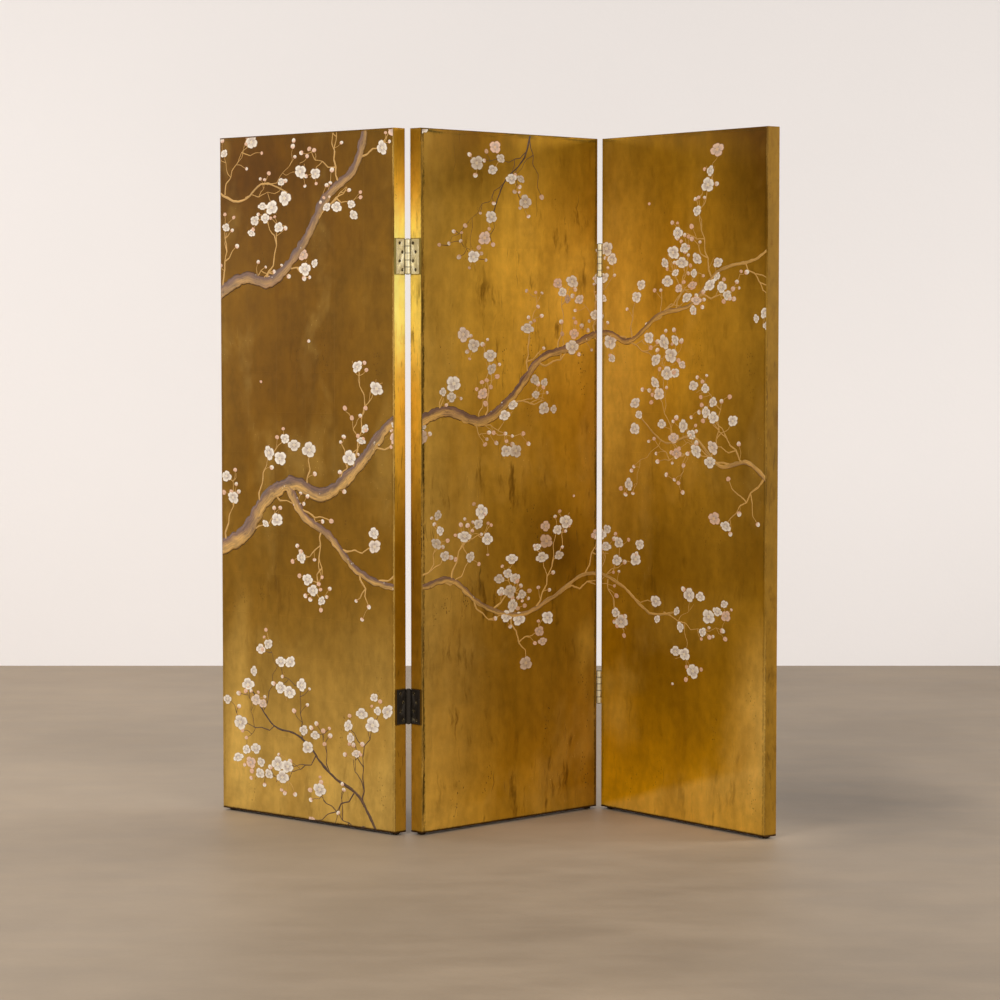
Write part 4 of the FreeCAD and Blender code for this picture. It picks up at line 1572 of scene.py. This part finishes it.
class PaintBlossoms(bpy.types.Operator):
    """Paints the blossoms, the buds and the falling petals"""

    bl_idname = "byobu.paint_blossoms"
    bl_label = "Paint the blossoms"

    def execute(self, context):
        look = context.scene.byobu_painting
        painting = Painting(look)
        chance = random.Random(look.seed + 1)
        open_flower = flower_shape("open_flower", 24, four_petals, 1.0)
        round_bud = flower_shape("round_bud", 12, egg, 0.86)
        kinds = {
            "blossoms": (painting.blossoms, open_flower, petal_paint(look)),
            "buds": (painting.buds, round_bud, bud_paint(look)),
        }
        for kind, (flowers, shape, material) in kinds.items():
            tree = scatter_group(f"scattered_{kind}", material)
            values = {"Flower": shape, "Breadth": look.breadth}
            for index, panel in enumerate(PANELS):
                shift = index * panel.width
                here = [flower for flower in flowers if self.reaches(flower, shift, panel)]
                base = self.flower_points(f"{panel.name}_{kind}_points", here, shift, panel, look, chance)
                mesh = grown(f"{panel.name}_{kind}", base, tree, values)
                hang_on_panel(f"{panel.name}_{kind}", mesh, panel)
            bpy.data.objects.remove(shape)
        return {"FINISHED"}

    @staticmethod
    def flower_points(name, flowers, shift, panel, look, chance):
        """A point for each flower, with what sets it apart: most have dulled on the middle panel."""
        most_aged = 0.9 if panel.name == "middle" else 0.3
        numbers = {
            "size": [flower.size for flower in flowers],
            "turn": [flower.turn for flower in flowers],
            "thickness": [look.relief * chance.uniform(0.7, 1.5) for _ in flowers],
            "openness": [chance.uniform(0.66, 1.04) for _ in flowers],
            "blush": [chance.random() for _ in flowers],
            "age": [chance.uniform(0.0, most_aged) for _ in flowers],
        }
        foot = -FLOWER_SINKING * look.relief
        points = [(flower.place.x - shift, flower.place.y, foot) for flower in flowers]
        return mesh_from(name, points, numbers=numbers, vectors={"middle": points})

    @staticmethod
    def reaches(flower, shift, panel):
        """Whether a flower lies on the panel that starts at shift, or laps over its edge from the next."""
        on_width = -flower.size < flower.place.x - shift < panel.width + flower.size
        return on_width and 0 < flower.place.y < panel.height


# The stage


Lamp = namedtuple("Lamp", "name place target size power")

# Softboxes, in metres and watts
LAMPS = (
    Lamp("key", (-3.6, -5.2, 4.6), (-0.2, 0, 0.9), (2.6, 2.6), 185),
    Lamp("fill", (4.2, -5.8, 3.2), (0.2, 0, 0.9), (3.0, 3.0), 165),
    Lamp("left_softbox", (-4.4, 1.3, 1.75), (-0.1, 0, 1.3), (1.5, 1.7), 72),
    Lamp("right_softbox", (4.4, 0.6, 1.75), (0.1, 0, 1.3), (1.5, 1.7), 110),
)
WORLD_LIGHT = 0.60

# The camera's place in metres, how far it looks down in degrees, and its lens and sensor in millimetres
CAMERA_PLACE = (0.022, -7.88, 1.315)
CAMERA_DIP = 3.27
LENS = 106.8
SENSOR = 36

FLOOR_REACH = 20
WALL_REACH = 16
WALL_HEIGHT = 9

# Painted shadows of the screen on the floor and a painted pool of light reflected from the gold before the
# fold: the middle, the reaches and the change of tone
PAINTED_FLOOR_SHADE_AND_LIGHT = (
    ((1.8, -0.1, 0), (1.6, 1.1, 1), -0.10),
    ((1.0, 0.6, 0), (0.45, 1.0, 1), -0.29),
    ((0.38, -0.15, 0), (0.55, 0.40, 1), 0.42),
)


class SetStage(bpy.types.Operator):
    """Sets the floor, the wall, the lamps, the world and the camera"""

    bl_idname = "byobu.set_stage"
    bl_label = "Set the stage"

    def execute(self, context):
        look = context.scene.byobu_stage
        far, wide, high = FLOOR_REACH, WALL_REACH, WALL_HEIGHT
        back = look.wall_distance
        floor = self.sheet("floor", [(-far, -far, 0), (far, -far, 0), (far, far, 0), (-far, far, 0)])
        floor.data.materials.append(self.concrete(look))
        corners = [(-wide, back, 0), (wide, back, 0), (wide, back, high), (-wide, back, high)]
        wall = self.sheet("wall", corners)
        wall.data.materials.append(self.plaster(look))
        for lamp in LAMPS:
            self.hang_lamp(lamp, look)
        self.light_the_world(context.scene, look)
        self.place_camera(context.scene)
        return {"FINISHED"}

    @staticmethod
    def sheet(name, corners):
        """One flat face."""
        return add_object(name, mesh_from(name, corners, faces=[(0, 1, 2, 3)]))

    @staticmethod
    def concrete(look):
        """Plain trowelled concrete, a little cloudy, with painted shade darkening it to the right, painted
        shadows of the screen and a painted pool of reflected light.
        """
        net = Finish("floor_concrete")
        place = net.object_place()
        x, _, _ = net.split(place)
        cloud = net.noise(place, 0.9, 5, 0.6)
        trowel = net.streaks(place, (1, 2.6, 1), 5, 0.6, scale=3.2)
        grain = net.noise(place, 90)
        patchy = net.step(cloud, 0.3, 0.7) * 0.24 + net.step(trowel, 0.3, 0.7) * 0.11 + grain * 0.08
        # Painted shade: the floor darker to the right
        tone = 0.89 + patchy - net.step(x, -1.6, 1.6) * 0.24
        for middle, reaches, change in PAINTED_FLOOR_SHADE_AND_LIGHT:
            offset = net.vector_math("DIVIDE", net.vector_math("SUBTRACT", place, middle), reaches)
            tone = tone + (1 - net.step(net.length(offset), 0.2, 1.1)) * change
        net.colour = net.toned(look.floor, tone)
        return net.surface({"Roughness": 0.48 + trowel * 0.16}, grain * 0.5 + trowel, 0.5 * MILLIMETRE)

    @staticmethod
    def plaster(look):
        """Off-white plaster, seen only from the room: from behind it lets the camera through."""
        net = Finish("wall_plaster")
        place = net.object_place()
        cloud = net.noise(place, 1.1, 4, 0.5)
        x, _, height = net.split(place)
        # Painted shade: the wall darker upwards and to the right
        painted_shading = net.step(height, 0.0, 2.4) * 0.12 + net.step(x, -2.2, 2.2) * 0.09
        colour = net.toned(look.wall, 1.105 + cloud * 0.03 - painted_shading)
        relief = {"Height": net.noise(place, 60), "Distance": 0.4 * MILLIMETRE}
        bump = net.field("ShaderNodeBump", values=relief)
        values = {"Base Color": colour, "Roughness": 0.9, "Normal": bump}
        shader = net.node("ShaderNodeBsdfPrincipled", values=values)
        clear = net.node("ShaderNodeBsdfTransparent")
        behind = net.field("ShaderNodeNewGeometry", output="Backfacing")
        sides = {0: behind, 1: shader.outputs[0], 2: clear.outputs[0]}
        mixed = net.field("ShaderNodeMixShader", values=sides)
        net.node("ShaderNodeOutputMaterial", values={"Surface": mixed})
        return net.material

    @staticmethod
    def hang_lamp(lamp, look):
        """A softbox, lit but not seen by the camera."""
        data = bpy.data.lights.new(lamp.name, "AREA")
        data.shape = "RECTANGLE"
        data.size, data.size_y = lamp.size
        data.energy = lamp.power
        data.color = look.light
        made = bpy.data.objects.new(lamp.name, data)
        bpy.context.scene.collection.objects.link(made)
        made.location = lamp.place
        gaze = Vector(lamp.target) - Vector(lamp.place)
        made.rotation_euler = gaze.to_track_quat("-Z", "Y").to_euler()
        made.visible_camera = False

    @staticmethod
    def light_the_world(scene, look):
        """An even soft light from everywhere."""
        world = bpy.data.worlds.new("studio")
        world.use_nodes = True
        net = Net(world.node_tree)
        net.tree.nodes.clear()
        values = {"Color": opaque(look.light), "Strength": WORLD_LIGHT}
        shine = net.node("ShaderNodeBackground", values=values)
        net.node("ShaderNodeOutputWorld", values={"Surface": shine.outputs[0]})
        scene.world = world
        scene.view_settings.view_transform = "Standard"

    @staticmethod
    def place_camera(scene):
        """The camera stands nearly eight metres off, at chest height, and looks down slightly."""
        data = bpy.data.cameras.new("camera")
        data.sensor_width = SENSOR
        data.lens = LENS
        data.clip_end = 100
        camera = bpy.data.objects.new("camera", data)
        scene.collection.objects.link(camera)
        camera.location = CAMERA_PLACE
        camera.rotation_euler = (math.radians(90 - CAMERA_DIP), 0, 0)
        scene.camera = camera


OPERATORS = (
    GildPanels,
    LacquerBacks,
    FinishLattice,
    FitHinges,
    DriveScrews,
    PaintBoughs,
    PaintBlossoms,
    SetStage,
)


class ByobuPanel(bpy.types.Panel):
    """Lists the steps and the settings"""

    bl_idname = "BYOBU_PT_finish"
    bl_label = "Byobu"
    bl_space_type = "VIEW_3D"
    bl_region_type = "UI"
    bl_category = "Byobu"

    def draw(self, context):
        for operator in OPERATORS:
            self.layout.operator(operator.bl_idname)
        for key, look in LOOKS.items():
            box = self.layout.box()
            for setting in look.__annotations__:
                box.prop(getattr(context.scene, key), setting)


def register():
    for look in LOOKS.values():
        bpy.utils.register_class(look)
    for operator in OPERATORS:
        bpy.utils.register_class(operator)
    bpy.utils.register_class(ByobuPanel)
    for key, look in LOOKS.items():
        setattr(bpy.types.Scene, key, PointerProperty(type=look))


def unregister():
    for key in LOOKS:
        delattr(bpy.types.Scene, key)
    bpy.utils.unregister_class(ByobuPanel)
    for operator in reversed(OPERATORS):
        bpy.utils.unregister_class(operator)
    for look in reversed(LOOKS.values()):
        bpy.utils.unregister_class(look)


def main():
    """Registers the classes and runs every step."""
    register()
    for operator in OPERATORS:
        family, step = operator.bl_idname.split(".")
        getattr(getattr(bpy.ops, family), step)()


if __name__ == "__main__":
    main()
